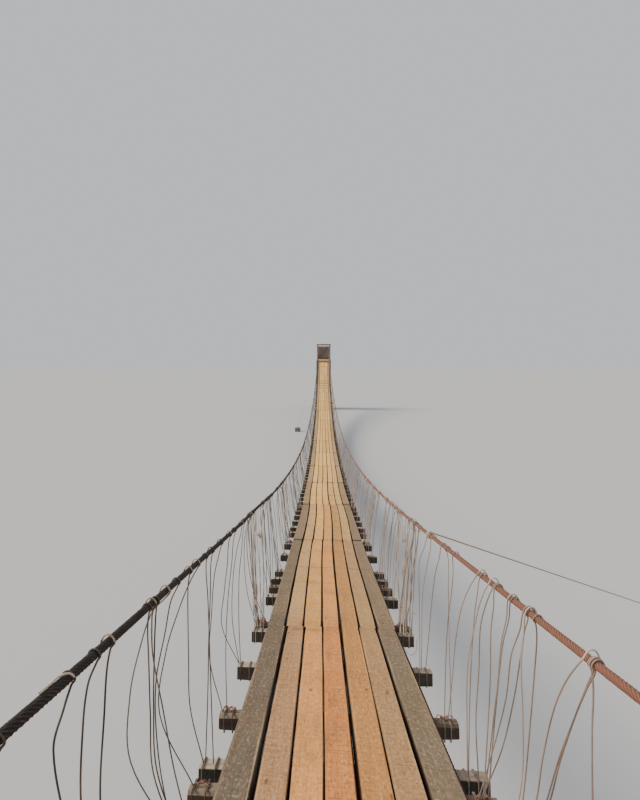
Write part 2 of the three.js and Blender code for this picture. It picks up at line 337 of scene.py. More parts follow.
wood = Finish("sawn_deck_wood", Specular_IOR_Level=0.2)
on_grain, in_space, facing_up = wood.on_grain(), wood.in_space(), wood.facing_up()
across, along = wood.part(on_grain, 0), wood.part(on_grain, 1)
board_tone = wood.marked("tone", "Color")
fine_grain = wood.streaked(on_grain, (430, 10), 4.0, 0.6)
streaks = wood.streaked(on_grain, (190, 3))
sawn_fuzz = wood.streaked(on_grain, (55, 330), 4.0, 0.7)
short_fibres = wood.streaked(on_grain, (150, 55), 2.0, 0.7)
ring_phase = across * 190 + wood.streaked(on_grain, (5, 1.1), 2.0) * 26
year_rings = ring_phase.math("SINE", ring_phase) * 0.5 + 0.5
saw_rows = wood.noise_along(along + across * 0.10, 105).rising(0.53, 0.66)
saw_rows *= wood.streaked(on_grain, (9, 2.4), 2.0).rising(0.46, 0.62)
fine_cuts = wood.noise_along(along + across * 0.06, 260, 3.0).rising(0.50, 0.70)
# Painted shadows of the hanger wires: faint dark lines that slant straight across all the boards.
wire_shadow_slant = wood.part(in_space, 1) + wood.part(in_space, 0) * 0.13
wire_shadow_lines = 1 - abs(wood.noise_along(wire_shadow_slant, 5.2, 1.0) - 0.5).rising(0.002, 0.010)
wire_shadow_lines *= wood.streaked(in_space, (5, 2.3), 1.0).rising(0.42, 0.60)
knot_cells = {"Vector": wood.stretched(on_grain, 7.0, 2.4), "Scale": 1.0, "Randomness": 1.0}
knot_reach, knot_choice = (
    wood.add("ShaderNodeTexVoronoi", {"voronoi_dimensions": "2D"}, knot_cells, output)
    for output in ("Distance", "Color")
)
knots = (1 - knot_reach.rising(0.016, 0.040)) * wood.part(knot_choice, 0).rising(0.55, 0.57)
blotches = wood.noise(in_space, 4.2, 4.0, 0.6)
long_stains = wood.streaked(on_grain, (24, 2.1)).rising(0.57, 0.74)
pale_chips = wood.streaked(on_grain, (42, 130)).rising(0.66, 0.78)
grime = wood.streaked(in_space, (11, 5), 5.0, 0.68).rising(0.50, 0.72)
dusty = wood.noise(in_space, 3.1, 2.0).rising(0.42, 0.6)
used = 1 - wood.part(in_space, 1).rising(9.0, 15.0) * 0.7
dark_wood = wood.blend(0.8, board_tone, paint(52, 36, 24))
pale_wood = wood.blend(0.5, board_tone, paint(255, 238, 210))
gap_shade_and_dirt = wood.blend(dusty, paint(46, 30, 20), paint(80, 70, 63))
wood.colour = board_tone
wood.coat(fine_grain.rising(0.36, 0.78) * used * 0.40, dark_wood)
wood.coat(streaks.rising(0.46, 0.76) * 0.14, 248, 196, 136)
wood.coat(year_rings.rising(0.6, 1.0) * 0.07, 140, 84, 46)
wood.coat(sawn_fuzz.rising(0.46, 0.70) * used * 0.42, dark_wood)
wood.coat(sawn_fuzz.rising(0.36, 0.20) * 0.55, 250, 210, 158)
wood.coat(short_fibres.rising(0.52, 0.74) * used * 0.46, dark_wood)
wood.coat(short_fibres.rising(0.48, 0.26) * 0.44, pale_wood)
wood.coat(saw_rows * 0.26, 110, 74, 48)
wood.coat(fine_cuts * blotches.rising(0.40, 0.60) * 0.24, dark_wood)
# Painted shadows of the hanger wires across the boards.
wood.coat(wire_shadow_lines * 0.36, 100, 64, 40)
wood.coat(blotches.rising(0.50, 0.76) * used * 0.30, 150, 118, 88)
wood.coat(grime * used * 0.30, 112, 84, 60)
wood.coat(long_stains * 0.12, 112, 84, 62)
wood.coat(knots * 0.62, 104, 62, 36)
wood.coat(pale_chips * 0.42, 248, 214, 162)
wood.coat(wood.marked("wear", "Fac") * streaks.rising(0.44, 0.66) * 0.34, 240, 206, 158)
# Painted shade and dirt: every upright face is coloured dark brown, so the gaps between the boards look
# shaded.
wood.coat((1 - facing_up.rising(0.25, 0.75)) * 0.93, gap_shade_and_dirt)
height = fine_grain * 0.5 + sawn_fuzz * 0.5 + saw_rows * 0.5 - knots * 0.4
board_finish = wood.cover(0.84 + fine_grain * 0.15, height, 0.0011, 0.75)

# From left to right, in metres of the model: the boards' widths, the gaps that follow them, and tones.
BOARD_WIDTHS = (0.0765, 0.0695, 0.073, 0.0685, 0.071, 0.0695, 0.074)
BOARD_GAPS = (0.0125, 0.0070, 0.0045, 0.0115, 0.0030, 0.0105)
BOARD_TONES = (
    (121, 107, 90), (202, 157, 110), (253, 181, 104), (232, 151, 84), (205, 142, 82), (178, 142, 98),
    (130, 114, 92),
)
FAR_TONE = (255, 206, 128)
OUTER_FAR_TONE = (190, 156, 116)
FAR_GAPS_WIDER = 1.45
STEPPED_ENDS = 0.005
FULL_VIEW_BAY = 3
JOINT_OVER_NEARER_BEAM = 0.058
BUTT_GAP = 0.0007
FADE_START = 6.3
FADE_LENGTH = 6.5
FADE = 0.85
chance = random.Random(11)
joint_steps = [[chance.uniform(-STEPPED_ENDS, STEPPED_ENDS) for _ in BOARD_WIDTHS] for _ in deck_joints]
joint_steps[0] = joint_steps[-1] = [0.0] * len(BOARD_WIDTHS)
joint_steps[FULL_VIEW_BAY + 1] = [step - JOINT_OVER_NEARER_BEAM for step in joint_steps[FULL_VIEW_BAY + 1]]


# The boards aren't quite straight: seen from the near end they snake by about a centimetre.
def deck_wander(y):
    bend = 0.011 * math.sin((y - 9.6) * 1.25) * math.exp(-(((y - 11.6) / 2.6) ** 2))
    return bend + 0.003 * math.sin(y * 0.55)


def bay_boards(bay):
    if bay == FULL_VIEW_BAY:
        return list(BOARD_WIDTHS), list(BOARD_GAPS)
    widths = [width * chance.uniform(0.97, 1.03) for width in BOARD_WIDTHS]
    wider = FAR_GAPS_WIDER if bay > FULL_VIEW_BAY else 1.0
    gaps = [(gap * 0.3 + chance.uniform(0.0030, 0.0060)) * wider for gap in BOARD_GAPS]
    fill = (2 * DECK_HALF_WIDTH - sum(gaps)) / sum(widths)
    return [width * fill for width in widths], gaps


# A board's sides lean out towards its neighbours', so that no light comes up through the gaps, and its
# edges are eased. Farther out some boards curl up at the end that faces the viewer.
WAVER = 0.0006
END_EASING = 0.0016
CLEARANCE = 0.0001
EDGE_WIDTH = 0.0022
EDGE_DROP = 0.0035
WORN_WIDTH = 0.0080
CROWN = 0.0008
SUNK_AT_MOST = 0.0014
CURLS = (0.0, 0.002, 0.006)
CLOSE_BAYS = range(2, 6)


def lay_board(heap, left, width, gap_left, gap_right, start, end, tone, bay):
    stations = 18 if bay in CLOSE_BAYS else 9
    phases = [chance.uniform(0, 6.3) for _ in range(4)]
    sunk = chance.uniform(0.0, SUNK_AT_MOST)
    curl = chance.choice(CURLS) if bay > FULL_VIEW_BAY + 1 else 0.0
    rings = []
    for station in range(stations + 1):
        y = start + (end - start) * station / stations
        ease = END_EASING if station in (0, stations) else 0.0
        waver_left = WAVER * (math.sin(5.1 * y + phases[0]) + 0.5 * math.sin(13.7 * y + phases[1]))
        waver_right = WAVER * (math.sin(4.3 * y + phases[2]) + 0.5 * math.sin(11.9 * y + phases[3]))
        a = left + deck_wander(y)
        b = a + width
        foot_a = max(a - gap_left / 2 + CLEARANCE, -DECK_HALF_WIDTH)
        foot_b = min(b + gap_right / 2 - CLEARANCE, DECK_HALF_WIDTH)
        a = max(a + waver_left + ease, -DECK_HALF_WIDTH)
        b = min(b + waver_right - ease, DECK_HALF_WIDTH)
        top = -sunk - ease * 0.8 + (curl if station == 0 else 0.0)
        outline = [(a, top - EDGE_DROP), (a + EDGE_WIDTH, top), (a + WORN_WIDTH, top)]
        outline += [((a + b) / 2, top - CROWN), (b - WORN_WIDTH, top), (b - EDGE_WIDTH, top)]
        outline += [(b, top - EDGE_DROP), (foot_b, -BOARD_THICKNESS), (foot_a, -BOARD_THICKNESS)]
        rings.append([Vector((x, y, bay_top(bay, y) + z)) for x, z in outline])
    heap.loft(rings, tone, [1, 1, 0, 0, 0, 1, 1, 0, 0])


bays_of_node = {"01": [0], "06": [9], "11": [18]}
for i, first in enumerate((1, 3, 5, 7)):
    bays_of_node[f"{2 + i:02d}"] = [first, first + 1]
    bays_of_node[f"{7 + i:02d}"] = [first + 9, first + 10]
boards_in_bay = {}
for number in sorted(bays_of_node):
    heap = Heap()
    for bay in bays_of_node[number]:
        widths, gaps = bay_boards(bay)
        x = -(sum(widths) + sum(gaps)) / 2
        distance = min(1.0, max(0.0, (deck_joints[bay] - FADE_START) / FADE_LENGTH))
        boards_in_bay[bay] = []
        for board, width in enumerate(widths):
            far_tone = OUTER_FAR_TONE if board in (0, len(widths) - 1) else FAR_TONE
            tone = [c + (f - c) * FADE * distance for c, f in zip(BOARD_TONES[board], far_tone)]
            light = chance.uniform(0.94, 1.06)
            tone = paint(*(min(255, c * light * chance.uniform(0.985, 1.015)) for c in tone))
            gap_left = gaps[board - 1] if board else 0.0
            gap_right = gaps[board] if board < len(gaps) else 0.0
            start = deck_joints[bay] + joint_steps[bay][board] + BUTT_GAP
            end = deck_joints[bay + 1] + joint_steps[bay + 1][board] - BUTT_GAP
            lay_board(heap, x, width, gap_left, gap_right, start, end, tone, bay)
            boards_in_bay[bay].append((x, width))
            x += width + gap_right
    heap.piece(f"planks_{number}", board_finish, "board_wood", f"deck_boards_{number}")


# Crossbeams: square-sawn or rough-hewn timbers under the boards, sticking out on both sides. Their
# upper faces are painted pale, partly sun bleaching and partly painted light, paler on the lamp's left;
# their upright faces are dark with moss and rain. Under each butt joint two lie close together.
timber = Finish("weathered_beam_wood", Specular_IOR_Level=0.2)
on_grain, in_space, facing_up = timber.on_grain(), timber.in_space(), timber.facing_up()
beam_grain = timber.streaked(on_grain, (260, 11), 4.0, 0.65)
beam_streaks = timber.streaked(on_grain, (60, 4))
beam_spots = timber.noise(in_space, 38, 4.0, 0.65)
lichen = timber.noise(in_space, 75).rising(0.58, 0.70)
# Painted light: the tops are painted pale, more on the left half of each beam, the lamp's side.
painted_lit_side = 1 - timber.part(in_space, 0).rising(-0.05, 0.05) * 0.45
bleached_and_painted_light = facing_up.rising(0.4, 0.9) * painted_lit_side * (0.74 - timber.marked("wear", "Fac") * 0.40)
timber.colour = timber.marked("tone", "Color")
timber.coat(beam_grain.rising(0.35, 0.7) * 0.5, 66, 54, 42)
timber.coat(beam_streaks.rising(0.5, 0.72) * 0.45, 46, 38, 32)
timber.coat(bleached_and_painted_light, 206, 186, 164)
timber.coat(beam_spots.rising(0.55, 0.72) * 0.40, 100, 68, 50)
timber.coat(lichen * facing_up.rising(0.0, 0.6) * 0.40, 160, 156, 136)
height = beam_grain * 0.7 + beam_spots * 0.6
beam_finish = timber.cover(0.84 + beam_grain * 0.12, height, 0.0022, 0.9)

BEAM_SIZE = 0.05
BEAM_HALF_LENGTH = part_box("crossbeams_05")[1].x
LEFT_OVERHANG = 0.006
RIGHT_OVERHANG = 0.014
ROUGH_NEAR_BEAMS = (6.635, 6.9975, 7.8475)
NEAR_STRETCH_END = 8.0
SAWN_SIZES = (0.048, 0.0498)
HEWN_SIZES = (0.044, 0.049)
HEWN_SHARE = 0.3
SHORTER = 0.008
SAWN_TONES = ((58, 60, 54), (68, 64, 57), (52, 52, 47), (74, 66, 58))
HEWN_TONES = ((84, 62, 50), (92, 72, 58), (72, 58, 49))


# The beams' places come from the frame: four corners of each stand at the right-hand ends.
def beam_places(node):
    corners = {
        (round(v.co.y, 5), round(v.co.z, 5))
        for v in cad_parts[node].data.vertices
        if v.co.x > BEAM_HALF_LENGTH - 0.001
    }
    corners = sorted(corners)
    groups = [corners[i:i + 4] for i in range(0, len(corners), 4)]
    return [Vector((0, sum(c[0] for c in g) / 4, sum(c[1] for c in g) / 4)) for g in groups]


def is_rough_near(beam):
    return any(abs(beam.y - y) < 0.02 for y in ROUGH_NEAR_BEAMS)


def beam_axes(beam):
    tilt = math.atan(deck_slope(beam.y))
    return Vector((0, math.cos(tilt), math.sin(tilt))), Vector((0, -math.sin(tilt), math.cos(tilt)))


def lay_beam(heap, beam, hewn):
    forward, upward = beam_axes(beam)
    size = chance.uniform(*(HEWN_SIZES if hewn else SAWN_SIZES))
    corner, wobble, stations = (0.008, 0.0020, 12) if hewn else (0.0015, 0.0004, 7)
    left = -BEAM_HALF_LENGTH - LEFT_OVERHANG + chance.uniform(0.0, SHORTER)
    right = BEAM_HALF_LENGTH + RIGHT_OVERHANG - chance.uniform(0.0, SHORTER)
    rings = []
    for station in range(stations + 1):
        x = left + (right - left) * station / stations
        inset = 0.002 if station in (0, stations) else 0.0
        ring = []
        for a, b in ((-1, -1), (1, -1), (1, 1), (-1, 1)):
            for first in (True, False):
                turn = (a * b > 0) == first
                across_beam = a * (size / 2 - (0 if turn else corner) - inset)
                across_beam += chance.uniform(-wobble, wobble)
                up_beam = b * (size / 2 - (corner if turn else 0) - inset) + (BEAM_SIZE - size) / 2
                up_beam -= chance.uniform(0, wobble)
                ring.append(beam + Vector((x, 0, 0)) + forward * across_beam + upward * up_beam)
        rings.append(ring)
    tone = paint(*chance.choice(HEWN_TONES if hewn else SAWN_TONES))
    heap.loft(rings, tone, [1.0 if hewn else 0.0] * 8)


beam_numbers = [f"{n:02d}" for n in range(1, 10)]
all_beams = []
for number in beam_numbers:
    heap = Heap()
    for beam in beam_places(f"crossbeams_{number}"):
        if beam.y < NEAR_STRETCH_END:
            hewn = is_rough_near(beam)
        else:
            hewn = chance.random() < HEWN_SHARE
        lay_beam(heap, beam, hewn)
        all_beams.append(beam)
    heap.piece(f"timbers_{number}", beam_finish, "beam_wood", f"crossbeams_{number}")


# Nails: two flat-headed nails, driven a little below the surface, hold each board to each crossbeam.
# Their heads have rusted brown.
def new_growth(name, inputs):
    tree = bpy.data.node_groups.new(name, "GeometryNodeTree")
    tree.interface.new_socket(name="Geometry", in_out="OUTPUT", socket_type="NodeSocketGeometry")
    tree.interface.new_socket(name="Geometry", in_out="INPUT", socket_type="NodeSocketGeometry")
    for label, kind in inputs.items():
        tree.interface.new_socket(name=label, in_out="INPUT", socket_type=f"NodeSocket{kind}")
    graph = Graph(tree)
    entry = tree.nodes.new("NodeGroupInput")
    named = {socket.name: Reading(graph, socket) for socket in entry.outputs if socket.name}
    return graph, named


def close_growth(graph, geometry, finish):
    realized = graph.add("GeometryNodeRealizeInstances", None, {0: geometry})
    covered = graph.add("GeometryNodeSetMaterial", None, {"Geometry": realized, "Material": finish})
    out = graph.tree.nodes.new("NodeGroupOutput")
    graph.tree.links.new(covered.socket, out.inputs[0])
    return graph.tree


# Runs a growth on lines of points, which may be marked with numbers or vectors.
def grown(name, tree, lines, marks, **inputs):
    edges = []
    first = 0
    for line in lines:
        edges += [(i, i + 1) for i in range(first, first + len(line) - 1)]
        first += len(line)
    seedling = bpy.data.meshes.new(f"{name}_line")
    seedling.from_pydata([point for line in lines for point in line], edges, [])
    for mark, values in marks.items():
        if isinstance(values[0], (tuple, Vector)):
            layer = seedling.attributes.new(mark, "FLOAT_VECTOR", "POINT")
            layer.data.foreach_set("vector", [number for value in values for number in value])
        else:
            layer = seedling.attributes.new(mark, "FLOAT", "POINT")
            layer.data.foreach_set("value", values)
    holder = bpy.data.objects.new(f"{name}_line", seedling)
    bpy.context.collection.objects.link(holder)
    modifier = holder.modifiers.new("grown", "NODES")
    modifier.node_group = tree
    for item in tree.interface.items_tree:
        label = item.name.replace(" ", "_")
        if item.in_out == "INPUT" and label in inputs:
            modifier[item.identifier] = inputs[label]
    view = bpy.context.evaluated_depsgraph_get()
    evaluated = holder.evaluated_get(view)
    mesh = bpy.data.meshes.new_from_object(evaluated, preserve_all_data_layers=True, depsgraph=view)
    mesh.name = name
    holder.modifiers.remove(modifier)
    bpy.data.objects.remove(holder)
    return bpy.data.objects.new(name, mesh)


nail = Finish("rusted_nail_head", Specular_IOR_Level=0.3)
nail_rust = nail.noise(nail.in_space(), 420)
nail.colour = paint(140, 104, 70)
nail.coat(nail_rust.rising(0.35, 0.65), 176, 134, 94)
nail_finish = nail.cover(0.62 + nail_rust * 0.3, nail_rust, 0.0004)

nail_sizes = {"Head radius": "Float", "Head height": "Float", "Finish": "Material"}
graph, inputs = new_growth("Nail heads", nail_sizes)
head_sizes = {
    "Vertices": 7, "Radius Top": inputs["Head radius"] * 0.7, "Radius Bottom": inputs["Head radius"],
    "Depth": inputs["Head height"],
}
head = graph.add("GeometryNodeMeshCone", {"fill_type": "TRIANGLE_FAN"}, head_sizes)
lean = graph.add("GeometryNodeInputNamedAttribute", {"data_type": "FLOAT_VECTOR"}, {"Name": "lean"})
turned = graph.add("FunctionNodeEulerToRotation", None, {0: lean})
heads = {"Points": inputs["Geometry"], "Instance": head, "Rotation": turned}
nail_tree = close_growth(graph, graph.add("GeometryNodeInstanceOnPoints", None, heads), inputs["Finish"])

SEAT_DEPTH = 0.0012
NAIL_DRIFT = 0.012
NAIL_STRAY = 0.07
nail_seats, nail_leans = [], []
for beam in all_beams:
    for x, width in boards_in_bay[bay_at(beam.y)]:
        for share in (0.2, 0.8):
            y = beam.y + chance.uniform(-NAIL_DRIFT, NAIL_DRIFT)
            nail_x = x + width * (share + chance.uniform(-NAIL_STRAY, NAIL_STRAY)) + deck_wander(y)
            nail_seats.append([Vector((nail_x, y, deck_top(y) - SEAT_DEPTH))])
            nail_leans.append((math.atan(deck_slope(y)), 0.0, chance.uniform(0, 1)))
nails = grown(
    "deck_nails", nail_tree, nail_seats, {"lean": nail_leans},
    Head_radius=0.0011, Head_height=0.0022, Finish=nail_finish,
)
placed(nails, "rusty_steel")


# Cleats: short battens, sawn from the same softwood as the boards, are nailed across the steep ends of
# the deck to give the foot a hold.
CLEAT_WIDTH = 0.045
CLEAT_HEIGHT = 0.018
CLEAT_CORNER = 0.003
CLEAT_REACH = 0.268
CLEAT_SHORTER = 0.02
CLEAT_TONE = (255, 204, 146)
NEAR_CLEATS = (5.05, 5.45, 5.85)
FAR_CLEATS = (30.75, 31.30, 31.75, 32.15, 32.55)


def lay_cleat(heap, y):
    seat = Vector((0, y, deck_top(y) - SEAT_DEPTH))
    forward, upward = beam_axes(seat)
    start = -CLEAT_REACH + chance.uniform(0, CLEAT_SHORTER)
    end = CLEAT_REACH - chance.uniform(0, CLEAT_SHORTER)
    tone = paint(*(c * chance.uniform(0.96, 1.0) for c in CLEAT_TONE))
    corner = CLEAT_CORNER
    rings = []
    for x, inset in ((start, corner), (start + corner, 0), (end - corner, 0), (end, corner)):
        a, b = CLEAT_WIDTH / 2 - inset, CLEAT_HEIGHT - inset
        outline = [(-a, inset), (a, inset), (a, b - corner), (a - corner, b)]
        outline += [(-a + corner, b), (-a, b - corner)]
        foot = seat + Vector((x, 0, 0))
        rings.append([foot + forward * ahead + upward * up for ahead, up in outline])
    heap.loft(rings, tone)


for end_name, places in (("near", NEAR_CLEATS), ("far", FAR_CLEATS)):
    heap = Heap()
    for y in places:
        lay_cleat(heap, y)
    heap.piece(f"cleats_{end_name}", board_finish, "board_wood")


# Main ropes: two wire ropes of eight strands, 14 mm across in the model. They hang from the portals at
# handrail height, a little unevenly. The left one is black with old grease, the right one rusted pink.
ROPE_RADIUS = 0.007
ROPE_ABOVE_DECK = 0.436
ROPE_EXTRA_AT_ENDS = 0.0715
ROPE_UNEVENNESS = 0.0115
ROPE_SIDE = 0.40
ROPE_NARROWING = 0.105
SADDLE_REACH = 18.06
ROPE_STEP = 0.16
ROPE_WAVES = ((5.85, 0.5, -0.0060, -0.0060), (7.4, 0.9, 0.0055, 0.0055), (8.1, 0.45, 0.0075, 0.0))
SIDES = (("left", -1), ("right", 1))


def rope_point(side, y):
    part = ((y - MIDDLE) / HALF_SPAN) ** 2
    height = sag_curve(y) + ROPE_ABOVE_DECK + ROPE_EXTRA_AT_ENDS * part - side * ROPE_UNEVENNESS
    for middle, reach, left_rise, right_rise in ROPE_WAVES:
        height += (left_rise if side < 0 else right_rise) * math.exp(-(((y - middle) / reach) ** 2))
    return Vector((side * (ROPE_SIDE - ROPE_NARROWING * part), y, height))


# Painted shade and light on a rope: the grooves between strands are painted dark as shade, the crests
# lighter, partly wear and partly painted light, with small painted glints on them.
def rope_finish(name, groove_shade, body, crest, painted_glint):
    rope = Finish(name, Metallic=0.15, Specular_IOR_Level=0.35)
    place = rope.in_space()
    ridge = rope.marked("ridge", "Fac")
    rust = rope.noise(place, 46, 4.0, 0.65)
    specks = rope.noise(place, 320, 3.0, 0.6)
    rope.colour = paint(*groove_shade)
    rope.coat(ridge.rising(0.05, 0.75), *body)
    rope.coat(ridge.rising(0.6, 1.0) * rust.rising(0.35, 0.7) * 0.8, *crest)
    rope.coat(specks.rising(0.56, 0.7) * ridge.rising(0.5, 1.0) * 0.5, *painted_glint)
    rope.coat(rope.noise(place, 3.2, 2.0).rising(0.45, 0.7) * 0.35, *body)
    return rope.cover(0.58 + specks * 0.35, specks + rust * 0.6, 0.0007, 0.8)


rope_finishes = {
    "left": rope_finish("greasy_black_rope", (20, 16, 14), (46, 38, 32), (92, 72, 58), (160, 138, 116)),
    "right": rope_finish("pink_rusted_rope", (98, 64, 50), (136, 93, 74), (166, 122, 101), (210, 180, 158)),
}
rope_slots = {"left": "dark_rope", "right": "rusty_rope"}

rope_sizes = {
    "Rope radius": "Float", "Strands": "Float", "Points a strand": "Int", "Groove depth": "Float",
    "Lay": "Float", "Ring spacing": "Float", "Finish": "Material",
}
graph, inputs = new_growth("Stranded rope", rope_sizes)
line = graph.add("GeometryNodeMeshToCurve", None, {0: inputs["Geometry"]})
line_steps = {"Curve": line, "Length": inputs["Ring spacing"]}
line = graph.add("GeometryNodeResampleCurve", {"mode": "LENGTH"}, line_steps)
travel = graph.add("GeometryNodeSplineParameter", None, None, "Length")
twist = travel / inputs["Lay"] * 2 * math.pi
line = graph.add("GeometryNodeSetCurveTilt", None, {"Curve": line, "Tilt": twist})
rim = {"Resolution": inputs["Strands"] * inputs["Points a strand"], "Radius": 1.0}
outline = graph.add("GeometryNodeCurvePrimitiveCircle", {"mode": "RADIUS"}, rim)
spot = graph.add("GeometryNodeInputPosition")
angle = graph.part(spot, 1)
angle = angle.math("ARCTAN2", angle, graph.part(spot, 0)) * inputs["Strands"]
crest = {"Geometry": outline, "Name": "ridge", "Value": angle.math("COSINE", angle) * 0.5 + 0.5}
outline = graph.add("GeometryNodeStoreNamedAttribute", {"data_type": "FLOAT", "domain": "POINT"}, crest)
ridge = graph.add("GeometryNodeInputNamedAttribute", {"data_type": "FLOAT"}, {"Name": "ridge"})
swell = inputs["Rope radius"] * (1 - inputs["Groove depth"] * (1 - ridge))
swollen = graph.add("ShaderNodeVectorMath", {"operation": "SCALE"}, {"Vector": spot, "Scale": swell})
outline = graph.add("GeometryNodeSetPosition", None, {"Geometry": outline, "Position": swollen})
rope = {"Curve": line, "Profile Curve": outline, "Fill Caps": True}
rope = graph.add("GeometryNodeCurveToMesh", None, rope)
rope = graph.add("GeometryNodeSetShadeSmooth", None, {"Geometry": rope})
rope_tree = close_growth(graph, rope, inputs["Finish"])


def laid_rope(name, lines, finish, slot, *nodes, **sizes):
    placed(grown(name, rope_tree, lines, {}, Finish=finish, **sizes), slot, *nodes)


for side_name, side in SIDES:
    saddle = rope_point(side, MIDDLE - SADDLE_REACH)
    for part in ("near", "middle", "far"):
        node = f"rope_and_hangers_{side_name}_{part}"
        low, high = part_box(node)
        start = saddle.y if part == "near" else low.y
        end = MIDDLE + SADDLE_REACH if part == "far" else high.y
        steps = round((end - start) / ROPE_STEP)
        line = [rope_point(side, start + (end - start) * i / steps) for i in range(steps + 1)]
        if part == "near":
            line.insert(0, Vector((saddle.x, low.y, saddle.z)))
        if part == "far":
            line.append(Vector((line[-1].x, high.y, line[-1].z)))
        close = part == "near"
        laid_rope(
            f"main_rope_{side_name}_{part}", [line], rope_finishes[side_name], rope_slots[side_name], node,
            Rope_radius=ROPE_RADIUS, Strands=8.0, Points_a_strand=3 if close else 2,
            Groove_depth=0.13 if side < 0 else 0.14, Lay=0.08, Ring_spacing=0.0075 if close else 0.0115,
        )


# Deck-edge ropes: a thin wire rope lies on the crossbeams along each side of the boards and ties the
# beams together. It is rusted dark red-brown.
edge_rope_finish = rope_finish(
    "dark_red_edge_rope", (26, 16, 12), (78, 46, 36), (128, 82, 64), (160, 118, 94)
)
EDGE_ROPE_X = {"left": 0.2785, "right": 0.2820}
EDGE_ROPE_RADIUS = 0.0035
END_MARGIN = 0.001
JOINT_MARGIN = 0.01
for number in beam_numbers:
    low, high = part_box(f"crossbeams_{number}")
    between = [joint for joint in deck_joints if low.y + JOINT_MARGIN < joint < high.y - JOINT_MARGIN]
    lines = []
    for side_name, side in SIDES:
        line = []
        for y in [low.y + END_MARGIN, *between, high.y - END_MARGIN]:
            lying = deck_top(min(max(y, DECK_START), DECK_END)) - BOARD_THICKNESS + EDGE_ROPE_RADIUS
            line.append(Vector((side * EDGE_ROPE_X[side_name], y, lying)))
        lines.append(line)
    laid_rope(
        f"edge_ropes_{number}", lines, edge_rope_finish, "dark_rope", Rope_radius=EDGE_ROPE_RADIUS,
        Strands=6.0, Points_a_strand=2, Groove_depth=0.2, Lay=0.05, Ring_spacing=0.016,
    )


# Hangers: stiff 3 mm wires bent over the main rope, with legs that bow down to the beam ends and are
# wound round them. Grease has blackened the left ones and the right ones are grey-brown; where they are
# bent over the rope they are rubbed pale.
wire_sizes = {"Wire radius": "Float", "Sides": "Int", "Finish": "Material"}
graph, inputs = new_growth("Wires", wire_sizes)
line = graph.add("GeometryNodeMeshToCurve", None, {0: inputs["Geometry"]})
rim = {"Resolution": inputs["Sides"], "Radius": inputs["Wire radius"]}
outline = graph.add("GeometryNodeCurvePrimitiveCircle", {"mode": "RADIUS"}, rim)
wire = {"Curve": line, "Profile Curve": outline, "Fill Caps": True}
wire = graph.add("GeometryNodeCurveToMesh", None, wire)
wire = graph.add("GeometryNodeSetShadeSmooth", None, {"Geometry": wire})
wire_tree = close_growth(graph, wire, inputs["Finish"])


def wire_finish(name, dark, light):
    wire = Finish(name, Metallic=0.15, Specular_IOR_Level=0.35)
    place = wire.in_space()
    patches = wire.noise(place, 14).rising(0.35, 0.7)
    specks = wire.noise(place, 260)
    wire.colour = paint(*dark)
    wire.coat(wire.marked("tone", "Fac") * 0.85 + patches * 0.18, *light)
    wire.coat(specks.rising(0.5, 0.68) * 0.28, 100, 70, 54)
    return wire.cover(0.5 + specks * 0.35, specks, 0.0003)


wire_finishes = {
    "left": wire_finish("dark_hanger_wire", (40, 33, 29), (196, 176, 152)),
    "right": wire_finish("grey_brown_hanger_wire", (92, 79, 72), (220, 198, 180)),
}
HANGER_RADIUS = 0.0015
GRIP = ROPE_RADIUS + HANGER_RADIUS
LEG_SHARES = (0.08, 0.2, 0.42, 0.7, 1.0)
RUBBED = 0.9
NOWHERE = 99.0
SPRUNG_LIFT = 0.004


class Wires:
    def __init__(self):
        self.lines = []
        self.tones = []

    def run(self, points, tone, rubbed_above=NOWHERE):
        self.lines.append(points)
        self.tones.extend(RUBBED if point.z > rubbed_above else tone for point in points)

    def piece(self, name, finish, slot, radius):
        marks = {"tone": self.tones}
        placed(grown(name, wire_tree, self.lines, marks, Wire_radius=radius, Sides=5, Finish=finish), slot)


# A curve through the points of a route, without a kink at any of them.
def smooth_through(route, steps):
    leads = []
    for i, point in enumerate(route):
        before, after = route[max(i - 1, 0)], route[min(i + 1, len(route) - 1)]
        leads.append((after - before).normalized())
    points = [route[0]]
    for i in range(len(route) - 1):
        a, d = route[i], route[i + 1]
        third = (d - a).length / 3
        b, c = a + leads[i] * third, d - leads[i + 1] * third
        for step in range(1, steps + 1):
            t = step / steps
            back = 1 - t
            points.append(a * back ** 3 + b * (3 * t * back ** 2) + c * (3 * t * t * back) + d * t ** 3)
    return points


# A leg's outward distances are given at a few shares of its drop, the last one at the beam.
def leg_points(side, centre, beam, distances):
    foot_z = beam.z + BEAM_SIZE / 2 + HANGER_RADIUS
    points = []
    for share, x in zip(LEG_SHARES, distances):
        y = centre.y + (beam.y - centre.y) * share
        points.append(Vector((side * x, y, centre.z + (foot_z - centre.z) * share)))
    return points


# The wire goes over the rope, with one shoulder on the deck side and one on the outer side. A leg that
# hangs below the rope comes round under it first. With one leg only, the other end is tucked under.
def hang(hung, side, loop_y, beam, lift, inner, outer, tone, steps=4):
    centre = rope_point(side, loop_y)
    crown = centre + Vector((0, 0, GRIP + lift))
    inner_shoulder = centre + Vector((-side * (GRIP + lift * 0.4), 0, lift * 0.4))
    outer_shoulder = centre + Vector((side * (GRIP + lift * 0.3), 0, lift * 0.3))
    under = centre + Vector((0, 0, -GRIP))
    if inner:
        leg = leg_points(side, centre, beam, inner)
        if inner[0] > abs(centre.x) - GRIP:
            leg.insert(0, under + Vector((-0.45 * side * GRIP, 0, 0)))
        route = list(reversed(leg)) + [inner_shoulder, crown, outer_shoulder]
    else:
        route = [under + Vector((-0.5 * side * GRIP, 0.005, 0)), inner_shoulder, crown, outer_shoulder]
    if outer:
        route += leg_points(side, centre, beam, outer)
    else:
        route.append(under + Vector((0.5 * side * GRIP, -0.005, 0)))
    rubbed_above = centre.z + GRIP * 0.4 if lift >= SPRUNG_LIFT else NOWHERE
    hung.run(smooth_through(route, steps), tone, rubbed_above)


